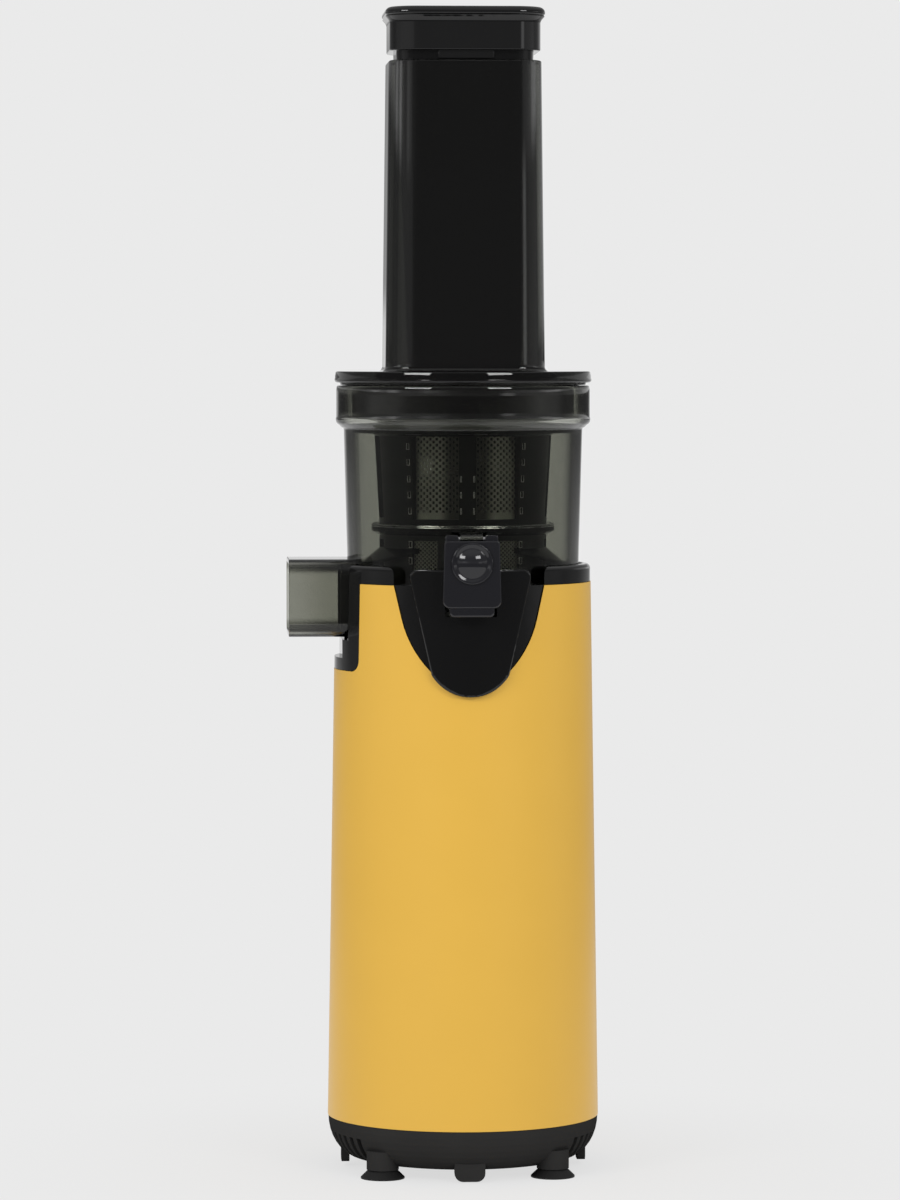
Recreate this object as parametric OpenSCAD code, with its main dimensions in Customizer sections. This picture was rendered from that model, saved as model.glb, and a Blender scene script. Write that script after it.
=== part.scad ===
// Upright cold press juicer: a tapered motor body on suction feet, a smoked juicing
// bowl with a pulp spout and a capped juice spout, a twist-on lid with a tall feed
// chute, and a food pusher. The pieces that it needs to run are inside: motor,
// two-stage planetary gearbox, drive coupling, strainer, auger and control board.
// The bowl and the lid are one moulding each; here each is drawn as a few simple
// pieces that meet face to face. The origin is on the table, on the auger's axis.
// The juice spout faces -Y and the pulp spout faces -X. All sizes are in millimetres.

/* [Body] */
// Radius of the body shell at its lower edge
body_r_low = 49.3; // [48.8:0.1:50]
// Radius of the body shell at its upper edge
body_r_top = 46.4; // [46.2:0.1:46.8]
// Height of the shell's lower edge over the table
body_z_low = 19; // [18.5:0.5:20]
// Height of the shell's upper edge over the table
body_z_top = 213.3; // [213:0.1:213.4]
// Wall of the body shell
shell_t = 2.2; // [1.8:0.1:2.2]

/* [Base] */
// Height of the base cover's floor over the table
base_z = 4; // [3.5:0.5:4.5]
// Vent slots on each side of the base cover
vents_per_side = 14; // [8:1:14]
// Width of one vent slot
vent_w = 2.4; // [1.6:0.1:2.6]
// Distance of each suction foot from the axis
foot_ring_r = 43.3; // [42:0.1:43.5]
// Radius of a suction cup at the table
cup_r = 7.9; // [7:0.1:8.5]

/* [Bowl] */
// Outer radius of the bowl where it leaves the body
bowl_r_low = 42; // [41.6:0.1:42.2]
// Outer radius of the bowl just under its collar
bowl_r_top = 43.3; // [43:0.1:43.6]
// Outer radius of the bowl's collar
collar_r = 46.2; // [46:0.1:46.4]
// Wall of the bowl
bowl_t = 2; // [1.6:0.1:2.2]
// Width of the pulp spout, outside
pulp_w = 36; // [32:1:37]
// Distance from the axis to the end of the pulp spout
pulp_reach = 63.7; // [60:0.1:70]
// Width of the juice spout, outside
spout_w = 16.4; // [15:0.2:17]

/* [Lid and pusher] */
// Width of the feed chute at its mouth
chute_w = 55; // [54:1:57]
// Depth of the feed chute at its mouth, front to back
chute_d = 46; // [42:1:48]
// Height of the chute's mouth over the table
chute_top_z = 401; // [380:1:420]
// Wall of the feed chute
chute_t = 2.2; // [1.8:0.1:2.4]
// Draft of the chute: how much wider it is where it meets the lid
chute_draft = 2.6; // [1:0.1:3]

/* [Gear train] */
// Tooth size: pitch diameter over tooth count
gear_module = 1.05; // [1:0.01:1.06]
// Teeth of each sun gear
sun_teeth = 12; // [12:12:12]
// Teeth of each planet gear
planet_teeth = 24; // [24:24:24]

/* [Hidden] */
$fn = 96;

// Gaps
fit_gap = 0.1;          // between pieces that are fixed to each other
move_gap = 0.3;         // between curved faces that move past each other
run_gap = 0.05;         // radial clearance of a shaft in its bearing

// Seat: the black housing that closes the body and holds the bowl
rim_r = 46.2;
rim_z = 219.8;
seat_r = 42.8;          // inside of the cup that the bowl stands in
seat_wall_r = 44;
seat_floor_z = 185;
seat_floor_t = 2.5;
rim_notch_x = 26.9;     // half the width of the gap in the rim over the apron
rim_corner_r = 2.2;
window_low_z = 201.4;   // where the window's straight sides end
window_low_x = 24.2;
window_bend_r = 38.4;   // then a wide bend to 45 degrees
window_tip_r = 9.6;     // and a tight one to its flat bottom
notch_x = 26;           // half the width of the pulp spout's notch in the shell
notch_z = 181.7;
notch_corner_r = 4;
sill_z = 186.2;
notch_floor_x = 44.4;   // distance of the notch's flat face from the axis
apron_top_z = 219.3;
apron_top_x = 22.2;
apron_low_z = 181.7;
apron_low_x = 13.8;
apron_corner_r = 3.5;
apron_wall = 2.2;
apron_push = 4.2;       // how far forward the apron's bulge is centred

// Base cover
base_lip_z = 22;
base_flat_r = 38;       // the floor is flat inside this radius
base_wall = 2.2;
vent_pitch = 5.5;       // degrees between vent slots
vent_z = 13.8;
tab_w = 11;
tab_r = [41.6, 44.4];   // nearest and furthest distance of a tab from the axis
tab_top_z = 9;
tab_corner_r = 3;
post_r = 5.8;           // posts that the suction feet are set in
post_z = 3.2;
foot_stem_r = 2;
base_screw_r = 33.5;      // distance of the base screws from the axis
base_screw_turn = 20;   // degrees by which they miss the tabs
screw_r = 1.5;          // shank of the screws
screw_head_r = 2.9;
screw_hole_r = 1.6;     // where a shank passes through
boss_ring_z = [36.5, 40];
boss_ring_w = 4;
base_boss_r = 4;

// Back of the body: switch and cord gland
switch_z = 52;
switch_size = [15, 22]; // width and height of its hole in the shell
switch_depth = 19;
switch_pivot_r = 1;
gland_z = 30;
gland_bore_r = 3.6;
gland_neck = 12;        // width and height of the neck in the shell
gland_neck_r = 2;
gland_flange_r = 8;

// Bowl
bowl_z = 187.8;         // the bowl's skirt stands here, on the seat
bowl_floor_z = 204;
bowl_floor_t = 2.2;
flare_z = 268.5;        // where the wall flares out to the collar
collar_z = [270.6, 284.3];
collar_t = 2.2;
boss_r = 8;
boss_z = [200.5, 212];
shaft_r = 5;
pulp_z = [193.7, 221.7];
pulp_t = 1.8;
pulp_hole_x = 19;       // distance of the pulp hole from the axis
pulp_hole_r = 6.5;
spout_z = [203.3, 227.5];
spout_face_y = 54;      // distance of the spout's mouth from the axis
spout_t = 1.8;
hinge_y = 51.8;
hinge_z = 230.2;
hinge_r = 1;
knuckle_r = 2.2;

// Strainer and auger
screen_r = 28.2;
screen_t = 0.5;
frame_r_in = 28.8;
frame_r_low = 30.3;
frame_r_top = 32.2;
frame_z = [206.4, 268];
frame_flange_r = 33.2;
frame_flange_z = [230.6, 234.4];
lower_windows_z = [212.5, 228.5];
upper_windows_z = [236.5, 263];
window_list = [         // centre and half-width of each strainer window, in degrees
    [-26, 9.2], [-11.3, 2.4], [11.3, 2.4], [26, 9.2], [80, 8], [100, 8],
    [154, 9.2], [180, 13], [206, 9.2], [260, 8], [280, 8]
];
auger_z = [209.2, 268];
auger_r = 27.4;
auger_core_r = 13;
auger_skirt_r = 20;
auger_turns = 1.6;
auger_tip_z = 280;

// Lid and pusher
lid_r = 46.6;
lid_z = [285.3, 289.4];
lid_neck_r = 41.8;      // the upper part of the skirt, inside the bowl's lugs
lid_neck_z = 272.3;
lid_lip_r = 39.8;       // the lowest part of the skirt, under the gasket
lid_lip_z = 267.2;
lid_skirt_in_r = 37.8;
lid_lug_r = 43.4;
lug_half_angle = 12;
lug_turn = 30;          // degrees from a lid lug to the bowl lug that holds it
lid_lug_z = [277.6, 280.6];
bowl_lug_z = [281.1, 284.3];
gasket_z = [268.6, 271.6];
gasket_r = [39, 41];
chute_corner_r = 10;
pusher_flange_z = [415, 420];
pusher_collar_z = 404.4;
pusher_end_z = 288;
pusher_top = [49.5, 39.5];   // width and depth of the shaft under the collar
pusher_end = [41, 31.5];
pusher_t = 2;

// Motor and gearbox
motor_r = 28;
motor_z = [72, 133];
motor_t = 1.6;
rotor_r = 19;
rotor_z = [82, 122];
motor_shaft_r = 2.5;
plate_z = [133, 137.8];
ring_z = [138, 172];
ring_r = 36.5;
cover_z = [172.1, 177];
lug_ring_r = 38.2;       // distance of the gearbox screws from the axis
lug_r = 3.6;
motor_screw_r = 15;
first_gear_z = [141, 151];
first_plate_z = [151.6, 154.6];
second_gear_z = [157, 167];
second_plate_z = [167.6, 170.6];
pin_r = 2.5;
coupling_z = [188.2, 199.5];
coupling_r = 8.5;
hex_across = 8;

// Gear geometry
ring_teeth = sun_teeth + 2 * planet_teeth;
pressure_angle = 25;
addendum = 0.85 * gear_module;
dedendum = 1.1 * gear_module;
backlash = 0.12;        // taken off each tooth at the pitch circle
orbit_r = gear_module * (sun_teeth + planet_teeth) / 2;

// Centres of the two bends of the front window's outline
window_lean = atan2(rim_notch_x - window_low_x, body_z_top - window_low_z);
window_bend_c = [window_low_x, window_low_z]
    - window_bend_r * [cos(window_lean), -sin(window_lean)];
window_tip_c = window_bend_c + (window_bend_r - window_tip_r) * [cos(45), -sin(45)];

// ---------- shared functions and modules ----------

// Radius of the body's outer surface at height z
function body_r(z) =
    body_r_low + (body_r_top - body_r_low) * (z - body_z_low) / (body_z_top - body_z_low);

// Points on an ellipse's arc, from one angle to another
function arc(centre, a, b, from, to, steps = 8) =
    [for (i = [0:steps]) let (t = from + (to - from) * i / steps)
        centre + [a * cos(t), b * sin(t)]];

function mirrored(points) =
    [for (i = [len(points) - 1:-1:0]) [-points[i][0], points[i][1]]];

// A tube standing from z[0] to z[1]
module tube(r_out, r_in, z) {
    translate([0, 0, z[0]]) difference() {
        cylinder(r = r_out, h = z[1] - z[0]);
        translate([0, 0, -1]) cylinder(r = r_in, h = z[1] - z[0] + 2);
    }
}

// A solid disc or rod standing from z[0] to z[1]
module disc(r, z) {
    translate([0, 0, z[0]]) cylinder(r = r, h = z[1] - z[0]);
}

// The solid inside the body's outer surface, brought in by inset
module body_cone(inset, z) {
    translate([0, 0, z[0]])
        cylinder(r1 = body_r(z[0]) - inset, r2 = body_r(z[1]) - inset, h = z[1] - z[0]);
}

// Extrudes an outline drawn in X and Z towards the front, between two distances
module front_prism(from, to) {
    translate([0, -from, 0]) rotate([90, 0, 0]) linear_extrude(to - from) children();
}

// The same towards the pulp spout's side; the outline is drawn in Y and Z
module left_prism(from, to) {
    rotate([0, 0, -90]) front_prism(from, to) children();
}

// A block reaching out from the axis at one angle, across a stretch of heights
module radial_block(angle, r, width, z) {
    rotate([0, 0, angle]) translate([r[0], -width / 2, z[0]])
        cube([r[1] - r[0], width, z[1] - z[0]]);
}

// Copies of a piece at the gearbox's four screws
module at_lugs() {
    for (k = [0:3]) rotate([0, 0, 90 * k + 45]) translate([lug_ring_r, 0, 0]) children();
}

// Copies of a piece at the motor's four screws
module at_motor_screws() {
    for (k = [0:3]) rotate([0, 0, 90 * k]) translate([motor_screw_r, 0, 0]) children();
}

// A round plate or ring of the gearbox with its four screw lugs
module lugged_disc(z) {
    disc(ring_r, z);
    at_lugs() disc(lug_r, z);
}

// A wedge of a disc, centred on an angle
module wedge(angle, half_angle, r, z) {
    rotate([0, 0, angle]) translate([0, 0, z[0]]) linear_extrude(z[1] - z[0])
        polygon([[0, 0], r * [cos(half_angle), -sin(half_angle)] * 1.2,
            r * [1.3, 0], r * [cos(half_angle), sin(half_angle)] * 1.2]);
}

// A rectangle with round corners, centred
module rounded_rect(size, r) {
    polygon([
        each arc([size[0] / 2 - r, size[1] / 2 - r], r, r, 0, 90),
        each arc([r - size[0] / 2, size[1] / 2 - r], r, r, 90, 180),
        each arc([r - size[0] / 2, r - size[1] / 2], r, r, 180, 270),
        each arc([size[0] / 2 - r, r - size[1] / 2], r, r, 270, 360)
    ]);
}

// A rounded box whose section changes evenly from its foot to its top
module drafted_box(z, foot, top, foot_r, top_r) {
    slice = 0.01;
    hull() {
        translate([0, 0, z[0]]) linear_extrude(slice) rounded_rect(foot, foot_r);
        translate([0, 0, z[1] - slice]) linear_extrude(slice) rounded_rect(top, top_r);
    }
}

// ---------- body ----------

// Outline of the shell's window over the apron
module window_outline(inset = 0) {
    x_top = window_low_x + (rim_notch_x - window_low_x)
        * (body_z_top + 6 - window_low_z) / (body_z_top - window_low_z);
    bend = window_bend_r - inset;
    tip = window_tip_r - inset;
    half = [[x_top - inset, body_z_top + 6],
        each arc(window_bend_c, bend, bend, -window_lean, -45, 7),
        each arc(window_tip_c, tip, tip, -45, -90, 5)];
    polygon([each half, each mirrored(half)]);
}

// Outline of the shell's notch for the pulp spout
module notch_outline(inset = 0) {
    r = notch_corner_r;
    x = notch_x - inset;
    half = [[x, body_z_top + 6], each arc([x - r, notch_z + inset + r], r, r, 0, -90, 6)];
    polygon([each half, each mirrored(half)]);
}

// Outline of the apron: a tongue with a round tip
module apron_outline(inset = 0) {
    r = apron_corner_r;
    tip_r = 16.2 - inset;
    tip_centre_z = apron_low_z + 8.5;
    side = atan2(-8.5, apron_low_x);
    half = [each arc([apron_top_x - inset - r, apron_top_z - inset - r], r, r, 90, 5, 5),
        each arc([0, tip_centre_z], tip_r, tip_r, side, -90, 7)];
    polygon([each half, each mirrored([for (i = [0:len(half) - 2]) half[i]])]);
}

// Axes of the four screws that hold the base
module at_base_screws() {
    for (k = [0:3]) rotate([0, 0, 90 * k + base_screw_turn])
        translate([base_screw_r, 0, 0]) children();
}

module body_shell() {
    color([0.93, 0.68, 0.22]) difference() {
        body_cone(0, [body_z_low, body_z_top]);
        translate([0, 0, body_z_low - 1]) cylinder(
            r1 = body_r(body_z_low - 1) - shell_t,
            r2 = body_r(body_z_top + 1) - shell_t,
            h = body_z_top - body_z_low + 2);
        front_prism(30, 60) window_outline();
        left_prism(30, 60) notch_outline();
        translate([-switch_size[0] / 2, 30, switch_z - switch_size[1] / 2])
            cube([switch_size[0], 30, switch_size[1]]);
        rotate([0, 0, 180]) front_prism(30, 60) translate([0, gland_z])
            rounded_rect([gland_neck + 0.2, gland_neck + 0.2], gland_neck_r);
    }
}

// A ring inside the shell that carries the bosses for the base's screws
module boss_ring() {
    color([0.3, 0.3, 0.3]) difference() {
        union() {
            difference() {
                body_cone(shell_t + 0.02, boss_ring_z);
                disc(body_r(boss_ring_z[0]) - shell_t - boss_ring_w, [0, 100]);
            }
            at_base_screws() disc(base_boss_r, [base_z + 4.6, boss_ring_z[1]]);
            for (k = [0:3]) radial_block(90 * k + base_screw_turn,
                [base_screw_r, body_r(boss_ring_z[0]) - shell_t - 1], 2.4, boss_ring_z);
        }
        at_base_screws() disc(screw_r + 0.05, [0, boss_ring_z[1] - 4]);
    }
}

// The gap in the rim over the apron, with the rim's ends rounded
module rim_gap_outline() {
    x = rim_notch_x;
    r = rim_corner_r;
    half = [each [[x + r, rim_z + 5]], each arc([x + r, rim_z - r], r, r, 90, 180, 4),
        [x, body_z_top + 0.1]];
    polygon([each half, each mirrored(half)]);
}

module seat_profile() {
    floor_top = seat_floor_z + seat_floor_t;
    polygon([
        [0, seat_floor_z], [seat_wall_r, seat_floor_z], [seat_wall_r, body_z_top + 0.2],
        [rim_r, body_z_top + 0.2], each arc([rim_r - 1.6, rim_z - 1.6], 1.6, 1.6, 0, 90, 4),
        [seat_r + 0.9, rim_z], [seat_r, rim_z - 0.9], [seat_r, floor_top], [0, floor_top]
    ]);
}

module seat_housing() {
    trim_z = [notch_z - 4, body_z_top + 0.4];
    color([0.05, 0.05, 0.055]) difference() {
        union() {
            difference() {
                rotate_extrude() seat_profile();
                front_prism(30, 60) rim_gap_outline();
            }
            intersection() {
                front_prism(30, 60) window_outline(0.25);
                difference() {
                    body_cone(0.5, [window_tip_c[1] - window_tip_r - 1, body_z_top + 0.1]);
                    disc(seat_r, [100, 300]);
                }
            }
            intersection() {
                left_prism(30, 60) notch_outline(0.2);
                difference() {
                    body_cone(0.05, trim_z);
                    disc(seat_r, [100, 300]);
                }
            }
            at_lugs() disc(lug_r, [cover_z[1] + fit_gap, seat_floor_z + 1]);
        }
        // flat face of the pulp notch, over its sill
        translate([-60, -22, sill_z]) cube([60 - notch_floor_x, 44, 60]);
        // slots, open at the top, that the two spouts drop into
        slot_y = pulp_w / 2 + 1.2;
        translate([-60, -slot_y, pulp_z[0] - 0.9]) cube([60, 2 * slot_y, 60]);
        slot_x = spout_w / 2 + 1;
        translate([-slot_x, -60, spout_z[0] - 0.7]) cube([2 * slot_x, 60, 60]);
        disc(9, [seat_floor_z - 1, 200]);
        at_lugs() disc(screw_r + 0.02, [170, seat_floor_z + 1]);
    }
}

// The solid that the apron's bulging face bounds
module apron_bulge(inset) {
    translate([0, -apron_push, 172])
        cylinder(r1 = 44.4 - inset, r2 = 47.4 - inset, h = 50);
}

module spout_apron() {
    slot_x = spout_w / 2 + 1;
    color([0.04, 0.04, 0.045]) difference() {
        intersection() {
            front_prism(30, 60) apron_outline();
            apron_bulge(0);
        }
        difference() {
            intersection() {
                front_prism(30, 60) apron_outline(apron_wall);
                apron_bulge(apron_wall);
            }
            translate([-slot_x - 2, -60, spout_z[0] - 2.7]) cube([2 * slot_x + 4, 60, 60]);
        }
        body_cone(0.5 - fit_gap, [150, 230]);
        difference() {
            body_cone(-fit_gap, [150, 230]);
            front_prism(30, 60) window_outline(fit_gap);
        }
        translate([-slot_x, -60, spout_z[0] - 0.7]) cube([2 * slot_x, 60, 60]);
    }
}

// ---------- base ----------

module base_profile() {
    edge = [body_r_low - 0.2 - base_flat_r, body_z_low - base_z];
    inner = edge - [base_wall, base_wall];
    polygon([
        [0, base_z], each arc([base_flat_r, body_z_low - fit_gap], edge[0], edge[1], -90, 0, 9),
        [body_r(base_lip_z) - shell_t - 0.3, body_z_low - fit_gap],
        [body_r(base_lip_z) - shell_t - 0.3, base_lip_z],
        [base_flat_r + inner[0] - 0.6, base_lip_z],
        each arc([base_flat_r - 0.6, body_z_low], inner[0], inner[1], 0, -90, 9),
        [0, base_z + base_wall]
    ]);
}

// Axes of the four suction feet
module at_feet() {
    for (k = [0:3]) rotate([0, 0, 90 * k + 45]) translate([foot_ring_r, 0, 0]) children();
}

// A short leg under the rim of the base; its lower corners are round
module tab(angle, low_z) {
    rotate([0, 0, angle]) translate([tab_r[0], 0, 0]) rotate([90, 0, 90])
        linear_extrude(tab_r[1] - tab_r[0]) polygon([
            [tab_w / 2, tab_top_z],
            each arc([tab_w / 2 - tab_corner_r, low_z + tab_corner_r],
                tab_corner_r, tab_corner_r, 0, -90, 5),
            each arc([tab_corner_r - tab_w / 2, low_z + tab_corner_r],
                tab_corner_r, tab_corner_r, -90, -180, 5),
            [-tab_w / 2, tab_top_z]
        ]);
}

module base_cover() {
    color([0.17, 0.17, 0.17]) difference() {
        union() {
            rotate_extrude() base_profile();
            for (side = [0, 180]) {
                tab(side, 1.8);
                tab(side + 90, 0.4);
            }
            at_feet() disc(post_r, [post_z, base_z + 6]);
            at_base_screws() disc(base_boss_r + 0.2, [base_z + 1, base_z + 4.4]);
        }
        for (side = [0, 180], k = [0:vents_per_side - 1])
            radial_block(side + (k - (vents_per_side - 1) / 2) * vent_pitch,
                [38.6, 60], vent_w, [base_z - 1, vent_z]);
        at_base_screws() {
            disc(screw_hole_r, [0, 30]);
            disc(screw_head_r + 0.3, [0, base_z + 1.9]);
        }
        at_feet() disc(foot_stem_r + run_gap, [0, base_z + 4]);
    }
}

module suction_foot() {
    rotate_extrude() polygon([
        [0, 1.4], [4.2, 0.9], [cup_r - 1.2, 0], [cup_r, 0], [cup_r, 0.5], [5.2, post_z - fit_gap],
        [foot_stem_r, post_z - fit_gap], [foot_stem_r, base_z + 3], [0, base_z + 3]
    ]);
}

module suction_feet() {
    color([0.09, 0.09, 0.09]) at_feet() suction_foot();
}

// A slotted screw, head down, standing on its head
module screw(head_h, length) {
    difference() {
        disc(screw_head_r, [0, head_h]);
        translate([-screw_head_r * 0.7, -0.4, -1]) cube([screw_head_r * 1.4, 0.8, 1.6]);
    }
    disc(screw_r, [head_h, head_h + length]);
}

module base_screws() {
    color([0.7, 0.7, 0.72]) at_base_screws() translate([0, 0, base_z + 0.3]) screw(1.5, 14);
}

// ---------- back of the body ----------

module cord_gland() {
    wall_y = body_r(gland_z - gland_flange_r);
    color([0.05, 0.05, 0.05]) translate([0, wall_y + 2, gland_z]) rotate([90, 0, 0])
        difference() {
            union() {
                cylinder(r = gland_flange_r, h = 1.9);
                linear_extrude(9) rounded_rect([gland_neck, gland_neck], gland_neck_r);
            }
            translate([0, 0, -1]) cylinder(r = gland_bore_r, h = 12);
        }
}

module switch_housing() {
    face_y = body_r(switch_z - switch_size[1] / 2) + 0.3;
    size = switch_size;
    color([0.06, 0.06, 0.06]) translate([0, face_y, switch_z]) difference() {
        union() {
            translate([-size[0] / 2 - 2, 0, -size[1] / 2 - 2])
                cube([size[0] + 4, 1.6, size[1] + 4]);
            translate([0.2 - size[0] / 2, -switch_depth, 0.2 - size[1] / 2])
                cube([size[0] - 0.4, switch_depth + 1, size[1] - 0.4]);
        }
        translate([-size[0] / 2 + 1.6, -8.5, -size[1] / 2 + 1.6])
            cube([size[0] - 3.2, 20, size[1] - 3.2]);
        translate([-size[0], 0, 0]) rotate([0, 90, 0])
            cylinder(r = switch_pivot_r + run_gap, h = 2 * size[0]);
    }
}

// A rocker that turns about a line through its housing; its face is two flats
module switch_rocker() {
    face_y = body_r(switch_z - switch_size[1] / 2) + 0.3;
    half_w = switch_size[0] / 2 - 2;
    half_h = switch_size[1] / 2 - 3;
    color([0.12, 0.12, 0.12]) translate([-half_w, face_y, switch_z]) rotate([90, 0, 90])
        linear_extrude(2 * half_w) polygon([
            [4.4, half_h], [2.6, 0], [4.4, -half_h], [0, -half_h - 0.3], [-5.5, -3],
            [-5.5, 3], [0, half_h + 0.3]
        ]);
    color([0.12, 0.12, 0.12]) translate([-half_w - 1.4, face_y, switch_z]) rotate([0, 90, 0])
        cylinder(r = switch_pivot_r, h = 2 * half_w + 2.8);
}

module control_board() {
    z = base_z + 14;
    color([0.1, 0.35, 0.15]) {
        translate([-26, -18, z]) cube([52, 36, 1.6]);
        for (x = [-22, 22], y = [-14, 14]) translate([x, y, 0])
            disc(2.2, [base_z + base_wall + fit_gap, z]);
    }
    color([0.15, 0.15, 0.17]) {
        translate([-20, -14, z + 1.6]) disc(6, [0, 14]);
        translate([2, -14, z + 1.6]) cube([18, 14, 12]);
        translate([-10, 2, z + 1.6]) cube([12, 12, 9]);
    }
}

function unit(v) = v / norm(v);

// Direction of a route at one of its points
function heading(route, i) = unit(
    (i > 0 ? unit(route[i] - route[i - 1]) : [0, 0, 0])
    + (i < len(route) - 1 ? unit(route[i + 1] - route[i]) : [0, 0, 0]));

// An eight-sided lead along a route
module lead(route, r) {
    sides = 8;
    last = len(route) - 1;
    rings = [for (i = [0:last])
        let (along = heading(route, i), u = unit(cross(along, [0.3, 1, 0.2])), v = cross(along, u))
        each [for (k = [0:sides - 1]) let (a = 360 / sides * k)
            route[i] + r * (cos(a) * u + sin(a) * v)]];
    polyhedron(rings, concat(
        [[for (k = [0:sides - 1]) k], [for (k = [sides - 1:-1:0]) last * sides + k]],
        [for (i = [0:last - 1], k = [0:sides - 1]) let (n = (k + 1) % sides)
            [i * sides + k, (i + 1) * sides + k, (i + 1) * sides + n, i * sides + n]]));
}

module internal_wiring() {
    board_z = base_z + 15.8;
    color([0.75, 0.1, 0.1]) {
        for (side = [-1, 1]) {
            lead([[4 * side, 30.2, 48], [4 * side, 26, 48], [9 * side, 20, 43],
                [14 * side, 13, 24], [14 * side, 13, board_z]], 1);
            lead([[23.5 * side, 0, board_z], [23.5 * side, 0, 24], [31 * side, 0, 34],
                [31 * side, 0, 64], [22 * side, 0, 67.6], [22 * side, 0, 71.8]], 1);
        }
    }
}

// ---------- motor ----------

module motor_can() {
    color([0.62, 0.63, 0.65]) difference() {
        disc(motor_r, motor_z);
        disc(motor_r - motor_t, [motor_z[0] - 1, motor_z[1] - 2]);
        disc(7, [0, 200]);
        at_motor_screws() disc(screw_hole_r, [120, 140]);
    }
}

module motor_end_cap() {
    color([0.08, 0.08, 0.08]) difference() {
        union() {
            disc(motor_r - motor_t - fit_gap, [motor_z[0] - 1, motor_z[0] + 5]);
            disc(motor_r, [motor_z[0] - 3, motor_z[0] - fit_gap]);
        }
        disc(7, [0, 100]);
        disc(20.5, [motor_z[0] + 1, 100]);
        for (x = [-22, 22]) translate([x, 0, 0]) disc(1.3, [0, 100]);
    }
}

module motor_magnets() {
    color([0.25, 0.25, 0.27]) intersection() {
        tube(motor_r - motor_t - fit_gap, rotor_r + 0.9, rotor_z);
        for (side = [0, 180]) wedge(side, 60, 40, [0, 200]);
    }
}

module motor_bearings() {
    color([0.75, 0.75, 0.77]) {
        tube(7 - fit_gap / 2, motor_shaft_r + run_gap, [motor_z[0] - 2.5, motor_z[0] + 0.9]);
        tube(7 - fit_gap / 2, motor_shaft_r + run_gap, [motor_z[1] - 4, motor_z[1] - 0.2]);
    }
}

module rotor_core() {
    slots = 12;
    color([0.72, 0.45, 0.2]) difference() {
        disc(rotor_r, rotor_z);
        for (k = [0:slots - 1])
            radial_block(360 / slots * k, [12, 30], 2, [rotor_z[0] - 1, rotor_z[1] + 1]);
        disc(motor_shaft_r + 0.02, [0, 200]);
    }
}

module rotor_shaft() {
    color([0.8, 0.8, 0.82]) disc(motor_shaft_r, [57, first_gear_z[1] - 0.6]);
}

module cooling_fan() {
    blades = 9;
    color([0.1, 0.1, 0.1]) difference() {
        union() {
            disc(6, [57.5, 66]);
            disc(24, [57.5, 58.9]);
            for (k = [0:blades - 1])
                radial_block(360 / blades * k, [5, 23.5], 1.2, [58, 66]);
        }
        disc(motor_shaft_r + 0.02, [0, 200]);
    }
}

// ---------- gear train ----------

// Involute of an angle, in degrees
function involute(angle) = tan(angle) * 180 / PI - angle;

// Half the angle that a tooth spans at radius r
function half_tooth(teeth, r, thinner) =
    let (pitch_r = gear_module * teeth / 2,
        base_r = pitch_r * cos(pressure_angle),
        at = r > base_r ? acos(base_r / r) : 0)
    90 / teeth + involute(pressure_angle) - involute(at) - thinner / pitch_r * 90 / PI;

// A gear's outline: each flank is three points on an involute
module gear_outline(teeth, out, in, thinner) {
    pitch_r = gear_module * teeth / 2;
    radii = [pitch_r - in, pitch_r, pitch_r + out];
    polygon([for (k = [0:teeth - 1]) each concat(
        [for (r = radii) let (a = 360 / teeth * k - half_tooth(teeth, r, thinner))
            r * [cos(a), sin(a)]],
        [for (i = [2:-1:0]) let (r = radii[i], a = 360 / teeth * k + half_tooth(teeth, r, thinner))
            r * [cos(a), sin(a)]])]);
}

module outer_gear(teeth, z) {
    translate([0, 0, z[0]]) linear_extrude(z[1] - z[0])
        gear_outline(teeth, addendum, dedendum, backlash);
}

module motor_pinion() {
    color([0.78, 0.74, 0.6]) difference() {
        outer_gear(sun_teeth, first_gear_z);
        disc(motor_shaft_r + 0.02, [0, 200]);
    }
}

module ring_gear() {
    color([0.85, 0.85, 0.82]) difference() {
        lugged_disc(ring_z);
        translate([0, 0, ring_z[0] - 1]) rotate([0, 0, 180 / ring_teeth])
            linear_extrude(ring_z[1] - ring_z[0] + 2)
                gear_outline(ring_teeth, dedendum, addendum, -backlash);
        at_lugs() disc(screw_hole_r, [100, 200]);
    }
}

// One planet gear, at its place on a carrier
module planet(index, z) {
    rotate([0, 0, 120 * (index - 1)]) translate([orbit_r, 0, 0])
        rotate([0, 0, 180 / planet_teeth]) difference() {
            outer_gear(planet_teeth, z);
            disc(pin_r + run_gap, [0, 200]);
        }
}

module first_planet(index) { color([0.9, 0.88, 0.8]) planet(index, first_gear_z); }

module second_planet(index) { color([0.8, 0.8, 0.8]) planet(index, second_gear_z); }

module planet_pins(gear_z, plate_z) {
    color([0.75, 0.76, 0.78]) for (k = [0:2])
        rotate([0, 0, 120 * k]) translate([orbit_r, 0, 0]) disc(pin_r, [gear_z[0], plate_z[1]]);
}

// A carrier plate with holes for its planets' pins
module carrier_plate(z) {
    difference() {
        disc(orbit_r + 5.5, z);
        for (k = [0:2]) rotate([0, 0, 120 * k]) translate([orbit_r, 0, 0])
            disc(pin_r + 0.02, [0, 200]);
    }
}

module first_carrier() {
    color([0.7, 0.71, 0.74]) {
        carrier_plate(first_plate_z);
        outer_gear(sun_teeth, [first_plate_z[1], second_gear_z[1]]);
    }
}

module output_carrier() {
    color([0.7, 0.71, 0.74]) {
        carrier_plate(second_plate_z);
        disc(shaft_r, [second_plate_z[1], coupling_z[0] + 2.2]);
    }
}

module gearbox_plate() {
    color([0.5, 0.51, 0.53]) difference() {
        lugged_disc(plate_z);
        disc(5, [0, 200]);
        at_motor_screws() disc(screw_hole_r, [0, 200]);
        at_lugs() disc(screw_hole_r, [0, 200]);
    }
}

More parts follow.
